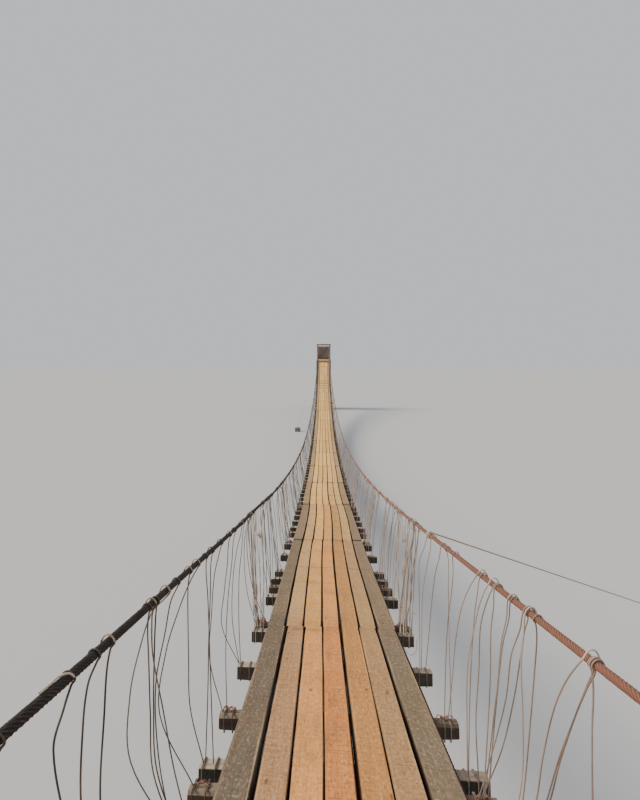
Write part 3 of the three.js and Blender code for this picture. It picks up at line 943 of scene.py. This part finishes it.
# One turn and a bit round a beam, with a bend on each side of its four corners.
def wind_round_beam(hung, side, x, beam, tone):
    forward, upward = beam_axes(beam)
    half = BEAM_SIZE / 2 + HANGER_RADIUS * 0.8
    bend = 0.86
    bends = [(-1, bend), (-bend, 1), (bend, 1), (1, bend), (1, -bend), (bend, -1), (-bend, -1), (-1, -bend)]
    points = []
    for i in range(len(bends) + 3):
        a, b = bends[i % len(bends)]
        spread = Vector((side * (x + i / len(bends) * HANGER_RADIUS * 2.1), 0, 0))
        points.append(beam + spread + forward * (a * half) + upward * (b * half))
    hung.run(points, tone)


# The hangers that the viewer stands beside: how far along the bridge each is looped on the rope and
# which beam it goes to, how far the loop stands off the rope in millimetres, how pale it is, and the
# distances in millimetres of its deck-side leg and of its outer one from the bridge's middle.
NEAR_HANGERS = {
    "left": (
        (5.760, 5.7525, 1, 0.08, (342, 344, 340, 336, 330), None),
        (5.915, 5.8475, 1, 0.08, (353, 350, 344, 337, 330), None),
        (6.061, 6.1333, 0, 0.05, (356, 375, 368, 349, 330), None),
        (6.136, 6.1333, 0, 0.10, (357, 365, 369, 353, 335), None),
        (6.183, 6.1333, 4, 0.05, (349, 351, 354, 343, 330), None),
        (6.359, 6.4667, 0, 0.12, (352, 355, 361, 366, 330), None),
        (6.381, 6.4667, 4, 0.22, (351, 353, 341, 326, 300), None),
        (6.404, 6.4667, 0, 0.08, (351, 356, 363, 364, 325), None),
        (6.469, 6.4667, 5, 0.30, (376, 398, 423, 423, 335), None),
        (6.552, 6.4667, 1, 0.12, (361, 370, 386, 374, 338), None),
        (6.657, 6.7275, 4, 0.08, (354, 357, 360, 362, 335), None),
        (6.738, 6.6350, 5, 0.16, (365, 388, 418, 425, 338), None),
        (6.842, 6.7275, 0, 0.14, (349, 342, 333, 322, 310), None),
        (6.921, 6.7275, 3, 0.10, (352, 348, 344, 336, 330), None),
        (7.061, 6.9975, 3, 0.16, (359, 371, 377, 380, 338), None),
        (7.225, 7.3625, 4, 0.14, (361, 367, 384, 400, 345), None),
        (7.332, 6.9975, 1, 0.10, (356, 354, 355, 346, 325), None),
        (7.505, 7.3625, 4, 0.20, (358, 371, 381, 377, 345), None),
        (7.576, 7.3625, 2, 0.12, (359, 360, 364, 356, 340), None),
    ),
    "right": (
        (5.800, 5.7525, 4, 0.35, (330, 320, 315, 312, 310), (346, 346, 345, 340, 334)),
        (5.860, 5.8475, 4, 0.35, (332, 322, 318, 314, 312), None),
        (6.020, 6.1333, 3, 0.30, None, (349, 352, 356, 350, 336)),
        (6.217, 6.4667, 1, 0.30, (345, 343, 346, 355, 340), None),
        (6.223, 6.4667, 2, 0.42, (347, 346, 345, 350, 335), None),
        (6.229, 6.1333, 0, 0.30, (345, 339, 333, 333, 334), None),
        (6.236, 6.4667, 9, 0.45, (322, 317, 323, 336, 322), None),
        (6.434, 6.4667, 0, 0.25, (350, 349, 346, 341, 330), None),
        (6.467, 6.4667, 5, 0.65, (338, 334, 339, 339, 310), None),
        (6.472, 6.6350, 2, 0.35, (346, 347, 348, 341, 315), None),
        (6.480, 6.6350, 3, 0.40, (340, 331, 334, 324, 309), None),
        (6.554, 6.6350, 1, 0.30, (342, 334, 331, 330, 330), None),
        (6.566, 6.6350, 4, 0.50, (341, 334, 332, 327, 322), None),
        (6.657, 6.6350, 3, 0.35, (341, 335, 334, 328, 320), None),
        (6.668, 6.7275, 2, 0.35, (330, 320, 322, 322, 335), None),
        (6.692, 6.7275, 9, 0.60, (324, 313, 300, 303, 310), None),
        (6.771, 6.7275, 3, 0.40, (337, 329, 321, 315, 312), None),
        (6.788, 6.9975, 7, 0.55, (326, 315, 313, 320, 325), None),
        (7.055, 6.9975, 3, 0.35, (346, 342, 328, 320, 315), None),
        (7.161, 6.9975, 1, 0.40, (355, 351, 345, 340, 335), None),
        (7.219, 7.3625, 2, 0.35, (345, 336, 332, 331, 330), None),
        (7.382, 7.3625, 3, 0.45, (345, 334, 318, 316, 315), None),
        (7.457, 7.3625, 2, 0.35, (339, 317, 314, 312, 310), None),
        (7.671, 7.7525, 2, 0.50, (352, 351, 344, 344, 345), None),
        (7.890, 7.7525, 2, 0.60, (351, 338, 325, 319, 320), None),
        (8.180, 7.7525, 1, 0.45, (351, 336, 308, 304, 300), None),
    ),
}
NEAR_HANGERS_START = 5.70
NEAR_HANGERS_END = 7.55
HANGERS_A_BEAM = 3
LOOP_DRIFT = 0.10
LOOP_MARGIN = 0.02
HANGER_FEET = (0.300, 0.342)
LEFT_BOWS = (-0.006, 0.004, 0.010, 0.022, 0.040)
RIGHT_BOWS = (-0.024, 0.004)
BOW_SHARES = (0.35, 0.75, 1.0, 0.85, 0.0)
DECK_SIDE_SHARE = 0.8
LIFTS = {-1: (0.001, 0.002, 0.003, 0.005), 1: (0.001, 0.002, 0.004, 0.008)}
HANGER_TONES = {-1: (0.05, 0.25), 1: (0.25, 0.6)}
WINDINGS = ((0.298, 0.310), (0.324, 0.334))


def beam_nearest(y):
    return min(all_beams, key=lambda beam: abs(beam.y - y))


def random_hanger(hung, side, beam, low_y, high_y):
    loop_y = beam.y + chance.uniform(-LOOP_DRIFT, LOOP_DRIFT)
    loop_y = min(max(loop_y, low_y + LOOP_MARGIN), high_y - LOOP_MARGIN)
    rope_x = abs(rope_point(side, loop_y).x)
    foot = chance.uniform(*HANGER_FEET)
    bow = chance.choice(LEFT_BOWS) if side < 0 else chance.uniform(*RIGHT_BOWS)
    line = [rope_x + (foot - rope_x) * share for share in LEG_SHARES]
    leg = [x + bow * part for x, part in zip(line, BOW_SHARES)]
    inner, outer = (leg, None) if chance.random() < DECK_SIDE_SHARE else (None, leg)
    lift = chance.choice(LIFTS[side])
    tone = chance.uniform(*HANGER_TONES[side])
    hang(hung, side, loop_y, beam, lift, inner, outer, tone)


for side_name, side in SIDES:
    for part in ("near", "middle", "far"):
        low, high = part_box(f"rope_and_hangers_{side_name}_{part}")
        hung = Wires()
        for beam in all_beams:
            if not max(low.y, DECK_START) < beam.y < min(high.y, DECK_END):
                continue
            if not NEAR_HANGERS_START < beam.y < NEAR_HANGERS_END:
                for _ in range(HANGERS_A_BEAM):
                    random_hanger(hung, side, beam, low.y, high.y)
            for x in [chance.uniform(*reach) for reach in WINDINGS]:
                wind_round_beam(hung, side, x, beam, chance.uniform(0.0, 0.2))
        if part == "near":
            for loop_y, beam_y, lift, tone, *legs in NEAR_HANGERS[side_name]:
                inner, outer = (leg and [x / 1000 for x in leg] for leg in legs)
                hang(hung, side, loop_y, beam_nearest(beam_y), lift / 1000, inner, outer, tone, steps=7)
        finish = wire_finishes[side_name]
        hung.piece(f"hanger_wires_{side_name}_{part}", finish, rope_slots[side_name], HANGER_RADIUS)


# Ties and mends: where boards butt over a pair of beams, extra pale wires have been twisted between
# rope and beams, with odd ends looped and knotted, and rusty scraps of wire are left on the beam ends.
pale_wire_finish = wire_finish("pale_tie_wire", (124, 108, 97), (224, 206, 184))
pink_wire_finish = wire_finish("pink_rusted_tie_wire", (112, 74, 60), (184, 138, 114))
TIE_RADIUS = 0.0015
BUNDLES = (
    (7.80, 8), (9.80, 5), (11.80, 4), (13.80, 3), (15.80, 3), (21.80, 3), (23.80, 3), (25.80, 4), (27.80, 4),
)
BUNDLE_START = -0.13
BUNDLE_SPREAD = 0.70
KNOT_Y = 7.80


def crooked(start, end, bends, sway):
    route = [start]
    for i in range(1, bends):
        point = start.lerp(end, i / bends)
        route.append(point + Vector((chance.uniform(-sway, sway), chance.uniform(-sway, sway), 0)))
    return smooth_through(route + [end], 3)


def twisted_pair(ties, line, tone):
    for phase in (0, math.pi):
        strand = []
        for i, point in enumerate(line):
            angle = phase + i * 0.9
            strand.append(point + Vector((TIE_RADIUS * math.cos(angle), TIE_RADIUS * math.sin(angle), 0)))
        ties.run(strand, tone)


def arm_round(axis, angle, squash=1.0):
    across_arm = axis.orthogonal().normalized()
    up_arm = axis.cross(across_arm).normalized()
    return across_arm * math.cos(angle) + up_arm * (squash * math.sin(angle))


def ring_of_wire(ties, centre, radius, facing, tone):
    squash = chance.uniform(0.5, 1.0)
    points = []
    for i in range(9):
        reach = radius * chance.uniform(0.75, 1.15)
        points.append(centre + arm_round(facing, 2 * math.pi * i / 9, squash) * reach)
    ties.run(points, tone)


def tangle(ties, centre, size, loops):
    for _ in range(loops):
        facing = Vector((chance.uniform(-1, 1), chance.uniform(-1, 1), chance.uniform(-0.4, 1))).normalized()
        offset = Vector([0.35 * chance.uniform(-size, size) for _ in range(3)])
        ring_of_wire(ties, centre + offset, size * chance.uniform(0.4, 0.9), facing, chance.uniform(0.1, 1))


def scrap_arch(ties, side, x, beam, height, width, tone):
    seat = beam + beam_axes(beam)[1] * (BEAM_SIZE / 2)
    route = []
    for share, up in ((-0.5, -0.001), (-0.42, 0.6), (0.0, 1.0), (0.42, 0.65), (0.5, -0.001)):
        sway = Vector((side * (x + share * width), chance.uniform(-0.006, 0.006), height * up))
        route.append(seat + sway)
    ties.run(smooth_through(route, 3), tone)


for side_name, side in SIDES:
    pale = Wires()
    for bundle_y, legs in BUNDLES:
        pair = sorted(all_beams, key=lambda beam: abs(beam.y - bundle_y))[:2]
        for leg in range(legs):
            share = leg / (legs - 1)
            beam = pair[leg % 2]
            top_y = bundle_y + BUNDLE_START + BUNDLE_SPREAD * share + chance.uniform(-0.04, 0.04)
            top = rope_point(side, top_y)
            top += Vector((-side * GRIP * chance.choice((0.9, -0.9)), 0, chance.uniform(-0.2, 0.5) * GRIP))
            foot_x = side * (0.341 - 0.042 * share + chance.uniform(-0.004, 0.004))
            foot = Vector((foot_x, beam.y + chance.uniform(-0.02, 0.02), beam.z + BEAM_SIZE / 2))
            line = crooked(top, foot, 7, 0.005)
            if side > 0 or leg % 3 == 0:
                twisted_pair(pale, line, chance.uniform(0.1, 0.6))
            else:
                pale.run(line, chance.uniform(0.1, 0.6))
        for beam in pair:
            wind_round_beam(pale, side, chance.uniform(0.305, 0.33), beam, chance.uniform(0.1, 0.5))
    knot = rope_point(side, KNOT_Y)
    if side > 0:
        for start_x, end_x, down in ((0.308, 0.352, 0.200), (0.296, 0.358, 0.385), (0.336, 0.372, 0.018)):
            start = Vector((start_x, KNOT_Y, knot.z - down))
            end = Vector((end_x, 7.79, knot.z - down - 0.014))
            pale.run(crooked(start, end, 3, 0.003), 0.9)
            ring_of_wire(pale, end + Vector((0.006, 0, 0)), 0.006, Vector((0, 1, 0)), 0.9)
        far_leg = rope_point(side, 8.95) - Vector((0.012, 0, 0.145))
        near_leg = rope_point(side, 7.70) - Vector((0.010, 0, 0.010))
        pale.run(crooked(far_leg, near_leg, 6, 0.004), 0.35)
        tangle(pale, Vector((0.318, KNOT_Y, knot.z - 0.075)), size=0.016, loops=4)
        beam_end = Vector((0, 7.735, beam_nearest(7.7525).z))
        loop = [Vector((0.318, 0, 0.034)), Vector((0.316, 0, -0.030)), Vector((0.338, 0, -0.062))]
        loop += [Vector((0.362, 0, -0.046)), Vector((0.366, 0, 0.010))]
        pale.run(smooth_through([beam_end + point for point in loop], 4), 1.0)
    else:
        tangle(pale, Vector((-0.322, KNOT_Y, knot.z - 0.095)), size=0.020, loops=6)
        along_rope = [rope_point(side, 6.0 + 0.015 * i) + Vector((-0.003, 0, GRIP)) for i in range(4)]
        along_rope.append(rope_point(side, 6.055) + Vector((0.004, 0, GRIP)))
        along_rope.append(rope_point(side, 6.062) + Vector((GRIP, 0, 0)))
        pale.run(smooth_through(along_rope, 3), 0.8)
    pale.piece(f"tie_wires_{side_name}", pale_wire_finish, "stay_wire", TIE_RADIUS)

    rusty = Wires()
    for bundle_y, legs in BUNDLES:
        beam = beam_nearest(bundle_y + 0.05)
        seat = Vector((side * 0.306, beam.y - 0.004, beam.z + BEAM_SIZE / 2 + 0.008))
        tangle(rusty, seat, size=0.020 if legs > 5 else 0.012, loops=legs)
    for beam in all_beams:
        if beam.y < NEAR_STRETCH_END:
            arches = 4 if is_rough_near(beam) else 0
        else:
            arches = chance.choice((0, 0, 1, 1, 2))
        for _ in range(arches):
            x, height = chance.uniform(0.302, 0.330), chance.uniform(0.004, 0.016)
            scrap_arch(rusty, side, x, beam, height, chance.uniform(0.010, 0.030), chance.uniform(0, 1))
    rusty.piece(f"rusty_scraps_{side_name}", pink_wire_finish, "rusty_steel", TIE_RADIUS)


# Abutments and anchor blocks: concrete cast in board shuttering, whose joints show as ledges. Rain has
# streaked them, moss grows on the tops, and the foot of each anchor block is stained by soil.
concrete = Finish("old_cast_concrete", Specular_IOR_Level=0.25)
in_space, facing_up = concrete.in_space(), concrete.facing_up()
clouds = concrete.noise(in_space, 2.6, 5.0, 0.6)
mottle = concrete.noise(in_space, 16, 5.0, 0.65)
pits = concrete.noise(in_space, 120, 3.0, 0.6)
rain_runs = concrete.streaked(in_space, (14, 14, 0.9), 4.0, 0.6).rising(0.52, 0.72)
sides_only = 1 - facing_up.rising(0.3, 0.8)
concrete.colour = concrete.marked("tone", "Color")
concrete.coat(clouds.rising(0.3, 0.7), 142, 134, 124)
concrete.coat(mottle.rising(0.42, 0.68) * 0.55, 92, 90, 84)
concrete.coat(rain_runs * sides_only * 0.6, 70, 62, 52)
concrete.coat(pits.rising(0.6, 0.7) * 0.5, 64, 60, 54)
concrete.coat(facing_up.rising(0.5, 0.95) * mottle.rising(0.4, 0.6) * 0.45, 108, 102, 66)
concrete.coat(concrete.marked("wear", "Fac") * clouds.rising(0.35, 0.6) * 0.75, 124, 94, 68)
height = mottle * 0.8 - pits.rising(0.6, 0.72) * 0.8
concrete_finish = concrete.cover(0.86 + pits * 0.1, height, 0.004, 0.8)

ABUTMENT_TONE = paint(132, 126, 112)
ANCHOR_TONE = paint(100, 90, 86)
SOIL_STAIN_HEIGHT = 0.16
BLOCK_CORNER = 0.012
ABUTMENT_BOARD = 0.11
ANCHOR_BOARD = 0.09
LEDGE = 0.0018
JOINT_HEIGHT = 0.0012
BEVEL_HEIGHT = 0.004
TOP_BEVEL_HEIGHT = 0.012
TOP_BEVEL = 0.010


def cut_corners(left, right, bottom, top, corner):
    outline = [(left + corner, bottom), (right - corner, bottom), (right, bottom + corner)]
    outline += [(right, top - corner), (right - corner, top), (left + corner, top)]
    return outline + [(left, top - corner), (left, bottom + corner)]


def cast_block(heap, low, high, board_height, corner, tone, stain_top=-1.0):
    levels = max(2, round((high.z - low.z) / board_height))
    rings = []
    for level in range(levels):
        bottom = low.z + (high.z - low.z) * level / levels
        top = low.z + (high.z - low.z) * (level + 1) / levels
        inset = chance.uniform(0.0, 0.0022)
        last = level == levels - 1
        steps = (
            (bottom + (0.0 if level == 0 else JOINT_HEIGHT), inset + LEDGE),
            (bottom + BEVEL_HEIGHT, inset),
            (top - (TOP_BEVEL_HEIGHT if last else BEVEL_HEIGHT), inset),
            (top - (0.0 if last else JOINT_HEIGHT), inset + (TOP_BEVEL if last else LEDGE)),
        )
        for z, step in steps:
            outline = cut_corners(low.x + step, high.x - step, low.y + step, high.y - step, corner)
            rings.append([Vector((x, y, z)) for x, y in outline])
    heap.loft(rings, tone)
    heap.wear[-8 * len(rings):] = [float(ring[0].z < stain_top) for ring in rings for _ in ring]


for end_name in ("near", "far"):
    heap = Heap()
    cast_block(heap, *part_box(f"abutment_{end_name}"), ABUTMENT_BOARD, BLOCK_CORNER, ABUTMENT_TONE)
    heap.piece(f"cast_abutment_{end_name}", concrete_finish, "concrete", f"abutment_{end_name}")
    heap = Heap()
    low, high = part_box(f"anchor_block_{end_name}")
    stain_top = low.z + SOIL_STAIN_HEIGHT
    cast_block(heap, low, high, ANCHOR_BOARD, BLOCK_CORNER, ANCHOR_TONE, stain_top)
    heap.piece(f"cast_anchor_block_{end_name}", concrete_finish, "concrete", f"anchor_block_{end_name}")


# Landings and risers: short planks laid crosswise make a step up from the deck. The first of them has
# a pale nosing, and below it a red-brown steel channel closes the step.
steel = Finish("rusted_steel", Metallic=0.15, Specular_IOR_Level=0.35)
in_space = steel.in_space()
rust_clouds = steel.noise(in_space, 7, 4.0, 0.6)
rust_specks = steel.noise(in_space, 90, 4.0, 0.65)
rust_runs = steel.streaked(in_space, (40, 40, 2.5))
steel.colour = steel.marked("tone", "Color")
steel.coat(rust_clouds.rising(0.3, 0.7) * 0.5, 126, 92, 74)
steel.coat(rust_specks.rising(0.45, 0.65) * 0.5, 98, 68, 54)
steel.coat(rust_runs.rising(0.5, 0.7) * 0.40, 72, 46, 38)
steel.coat(rust_clouds.rising(0.58, 0.76) * 0.55, 212, 180, 158)
steel_finish = steel.cover(0.66 + rust_specks * 0.3, rust_specks, 0.0012, 0.8)

pale_edge = Finish("pale_nosing_wood", Specular_IOR_Level=0.2)
nosing_grain = pale_edge.streaked(pale_edge.on_grain(), (220, 12), 4.0, 0.6)
pale_edge.colour = paint(255, 224, 176)
pale_edge.coat(nosing_grain.rising(0.4, 0.75) * 0.35, 196, 150, 104)
nosing_finish = pale_edge.cover(0.8 + nosing_grain * 0.15, nosing_grain, 0.0012, 0.8)

RISER_TONE = paint(206, 150, 110)
PORTAL_TONE = paint(172, 142, 126)
NOSING_HEIGHT = 0.060
LANDING_PLANKS = 12
LANDING_THICKNESS = 0.030
LANDING_TONE = (196, 152, 108)
NOSING_WIDTH = 0.0234
NOSING_TONE = paint(255, 255, 255)
CHANNEL_LIP = 0.018
CHANNEL_WEB = 0.006
LANDING_GAP = 0.001
BOLT_FROM_EDGE = 0.07
BOLT_COLUMNS = (-0.26, -0.13, 0.0, 0.13, 0.26)


def long_block(heap, low, high, corner, tone):
    rings = []
    for x, inset in ((low.x, corner), (low.x + corner, 0.0), (high.x - corner, 0.0), (high.x, corner)):
        outline = cut_corners(low.y + inset, high.y - inset, low.z + inset, high.z - inset, corner)
        rings.append([Vector((x, y, z)) for y, z in outline])
    heap.loft(rings, tone)


def turned_shape(heap, start, axis, steps, sides, tone):
    arms = [arm_round(axis, 2 * math.pi * i / sides) for i in range(sides)]
    rings = [[start + axis * distance + arm * radius for arm in arms] for distance, radius in steps]
    heap.loft(rings, tone)


def bolt(heap, place, axis, radius, height, tone):
    washer = radius * 1.6
    steps = [(-0.001, washer), (height * 0.25, washer), (height * 0.25, radius)]
    steps += [(height, radius), (height * 1.1, radius * 0.8)]
    turned_shape(heap, place, axis, steps, 6, tone)


for end_name in ("near", "far"):
    outward = 1 if end_name == "near" else -1
    low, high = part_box(f"end_sill_{end_name}")
    face = (high.y if outward > 0 else low.y) - outward * CHANNEL_WEB
    heap = Heap()
    top = high.z - (NOSING_HEIGHT - LANDING_THICKNESS)
    back, front = sorted((face, high.y if outward < 0 else low.y))
    web = (Vector((low.x, back, low.z + CHANNEL_LIP)), Vector((high.x, front, top - CHANNEL_LIP)))
    long_block(heap, *web, 0.001, RISER_TONE)
    lip = CHANNEL_LIP + 0.002
    for lip_low, lip_high in ((low.z, low.z + lip), (top - lip, top)):
        flange = (Vector((low.x, low.y, lip_low)), Vector((high.x, high.y, lip_high)))
        long_block(heap, *flange, 0.003, RISER_TONE)
    for x in BOLT_COLUMNS:
        for z in (low.z + BOLT_FROM_EDGE, top - BOLT_FROM_EDGE):
            bolt(heap, Vector((x, face, z)), Vector((0, outward, 0)), 0.0055, 0.0055, PORTAL_TONE)
    heap.piece(f"riser_{end_name}", steel_finish, "rusty_steel", f"end_sill_{end_name}")

    low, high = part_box(f"landing_{end_name}")
    heap = Heap()
    for plank in range(LANDING_PLANKS):
        start = low.y + (high.y - low.y) * plank / LANDING_PLANKS + LANDING_GAP
        end = low.y + (high.y - low.y) * (plank + 1) / LANDING_PLANKS - LANDING_GAP
        if plank == (LANDING_PLANKS - 1 if end_name == "near" else 0):
            if outward > 0:
                back, front = end - NOSING_WIDTH, end
                end = back - LANDING_GAP
            else:
                back, front = start, start + NOSING_WIDTH
                start = front + LANDING_GAP
            nosing_low = Vector((low.x, back, high.z - NOSING_HEIGHT))
            nosing = Heap()
            long_block(nosing, nosing_low, Vector((high.x, front, high.z)), 0.003, NOSING_TONE)
            nosing.piece(f"nosing_{end_name}", nosing_finish, "board_wood")
        tone = paint(*(c * chance.uniform(0.90, 1.04) for c in LANDING_TONE))
        plank_low = Vector((low.x + chance.uniform(0, 0.01), start, low.z))
        plank_high = Vector((high.x - chance.uniform(0, 0.01), end, high.z - chance.uniform(0, 0.0015)))
        long_block(heap, plank_low, plank_high, 0.002, tone)
    heap.piece(f"landing_planks_{end_name}", board_finish, "board_wood", f"landing_{end_name}")


# Portals: pairs of rusted pipes welded to foot plates and bolted down, with a square tube across their
# tops. A bracket on each carries the main rope.
FOOT_PLATE_THICKNESS = 0.008
FOOT_PLATE_HALF = 0.052
FOOT_PLATE_INWARD = 0.093
FOOT_PLATE_OUTWARD = 0.013
BOLT_INSET = (0.011, 0.010)
WELD = 0.004
COLLAR = 0.010
BRACKET_HALF = 0.02
UP = Vector((0, 0, 1))
for end_name in ("near", "far"):
    lintel_low, lintel_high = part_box(f"portal_lintel_{end_name}")
    post_y = (lintel_low.y + lintel_high.y) / 2
    for side_name, side in SIDES:
        node = f"portal_post_{end_name}_{side_name}"
        low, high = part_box(node)
        radius = (high.y - low.y) / 2
        outer = low.x if side < 0 else high.x
        foot = Vector((outer - side * radius, post_y, low.z))
        height = high.z - low.z
        heap = Heap()
        pipe = radius * 0.965
        steps = [(0.0, radius + WELD * 0.5), (FOOT_PLATE_THICKNESS + 0.001, radius)]
        steps += [(FOOT_PLATE_THICKNESS + WELD, pipe)]
        steps += [(height * share, pipe) for share in (0.25, 0.5, 0.75)]
        steps += [(height - COLLAR - 0.002, pipe), (height - COLLAR, radius), (height, radius)]
        turned_shape(heap, foot, UP, steps, 24, PORTAL_TONE)
        a, b = sorted((outer - side * FOOT_PLATE_INWARD, outer + side * FOOT_PLATE_OUTWARD))
        plate_low = Vector((a, post_y - FOOT_PLATE_HALF, low.z))
        plate_high = Vector((b, post_y + FOOT_PLATE_HALF, low.z + FOOT_PLATE_THICKNESS))
        long_block(heap, plate_low, plate_high, 0.0015, PORTAL_TONE)
        for x in (plate_low.x + BOLT_INSET[0], plate_high.x - BOLT_INSET[0]):
            for y in (plate_low.y + BOLT_INSET[1], plate_high.y - BOLT_INSET[1]):
                bolt(heap, Vector((x, y, plate_high.z)), UP, 0.0045, 0.010, RISER_TONE)
        saddle_z = rope_point(side, MIDDLE - SADDLE_REACH).z - ROPE_RADIUS - 0.0003
        inner = low.x if side > 0 else high.x
        a, b = sorted((inner, foot.x))
        bracket_low = Vector((a, post_y - BRACKET_HALF, saddle_z - 0.02))
        long_block(heap, bracket_low, Vector((b, post_y + BRACKET_HALF, saddle_z)), 0.002, PORTAL_TONE)
        heap.piece(f"pipe_post_{end_name}_{side_name}", steel_finish, "rusty_steel", node)
    heap = Heap()
    long_block(heap, lintel_low, lintel_high, 0.006, PORTAL_TONE)
    heap.piece(f"top_tube_{end_name}", steel_finish, "rusty_steel", f"portal_lintel_{end_name}")


# Side stays: thin bare wire strands that steady the bridge against the wind. The right one is whipped
# to the main rope, the left one is hooked to the far abutment, and each ends on a peg cast in a block.
stay_finish = rope_finish(
    "bare_stay_strand", (112, 92, 72), (196, 166, 134), (228, 204, 172), (244, 226, 200)
)
RIGHT_STAY_Y = 7.46
STAY_RADIUS = 0.0034
PEG_RADIUS = 0.011
WHIPPING_WIRE = 0.0016
WHIPPING_HALF = 0.028
PEG_HEIGHT = 0.07
PEG_COLLAR = PEG_RADIUS * 1.25


def peg_point(node):
    low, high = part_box(node)
    return Vector(((low.x + high.x) / 2, (low.y + high.y) / 2, high.z - PEG_HEIGHT / 2))


def coil(wires, centre, axis, radius, half_length, turns, tone):
    points = []
    for i in range(turns * 12 + 1):
        rise = axis * (half_length * (2 * i / (turns * 12) - 1))
        points.append(centre + arm_round(axis, 2 * math.pi * i / 12) * radius + rise)
    wires.run(points, tone)


def stay_strand(name, start, end, node):
    laid_rope(
        name, [[start, end]], stay_finish, "stay_wire", node, Rope_radius=STAY_RADIUS, Strands=6.0,
        Points_a_strand=2, Groove_depth=0.2, Lay=0.04, Ring_spacing=0.012,
    )


whipping = Wires()
right_peg = peg_point("stay_anchor_near_right")
held = rope_point(1, RIGHT_STAY_Y)
rope_way = (rope_point(1, RIGHT_STAY_Y + 0.05) - rope_point(1, RIGHT_STAY_Y - 0.05)).normalized()
stay_start = held + Vector((0.3 * ROPE_RADIUS, 0, ROPE_RADIUS + STAY_RADIUS))
aim = (right_peg - stay_start).normalized()
whipping_radius = ROPE_RADIUS + WHIPPING_WIRE
coil(whipping, held, rope_way, whipping_radius, WHIPPING_HALF, turns=6, tone=0.35)
whipping_radius = ROPE_RADIUS + STAY_RADIUS + WHIPPING_WIRE * 1.6
coil(whipping, held, rope_way, whipping_radius, 0.004, turns=2, tone=0.8)
stay_strand("stay_strand_near_right", stay_start, right_peg - aim * PEG_RADIUS, "side_stay_near_right")
coil(whipping, right_peg, UP, PEG_RADIUS + WHIPPING_WIRE, 0.009, turns=5, tone=0.6)

left_peg = peg_point("stay_anchor_far_left")
left_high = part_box("side_stay_far_left")[1]
hook = Vector((left_high.x - STAY_RADIUS, left_high.y - 0.001, left_high.z - STAY_RADIUS))
aim = (left_peg - hook).normalized()
stay_strand("stay_strand_far_left", hook, left_peg - aim * PEG_RADIUS, "side_stay_far_left")
coil(whipping, left_peg, UP, PEG_RADIUS + WHIPPING_WIRE, 0.009, turns=5, tone=0.6)
coil(whipping, hook + aim * 0.03, aim, STAY_RADIUS + WHIPPING_WIRE, 0.020, turns=9, tone=0.6)
whipping.piece("stay_whippings", pale_wire_finish, "stay_wire", WHIPPING_WIRE)

for place in ("near_right", "far_left"):
    node = f"stay_anchor_{place}"
    low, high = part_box(node)
    heap = Heap()
    block_top = high.z - PEG_HEIGHT
    cast_block(heap, low, Vector((high.x, high.y, block_top)), 0.05, 0.010, ABUTMENT_TONE)
    heap.piece(f"cast_{node}", concrete_finish, "concrete", node)
    heap = Heap()
    peg_foot = Vector(((low.x + high.x) / 2, (low.y + high.y) / 2, block_top - 0.02))
    peg_length = high.z - peg_foot.z
    steps = [(0, PEG_RADIUS), (peg_length - 0.012, PEG_RADIUS), (peg_length - 0.010, PEG_COLLAR)]
    steps += [(peg_length - 0.002, PEG_COLLAR), (peg_length, PEG_RADIUS)]
    turned_shape(heap, peg_foot, UP, steps, 16, RISER_TONE)
    heap.piece(f"peg_{place}", steel_finish, "rusty_steel")


# The finished bridge's bounds, without the floor, are measured.
low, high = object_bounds()
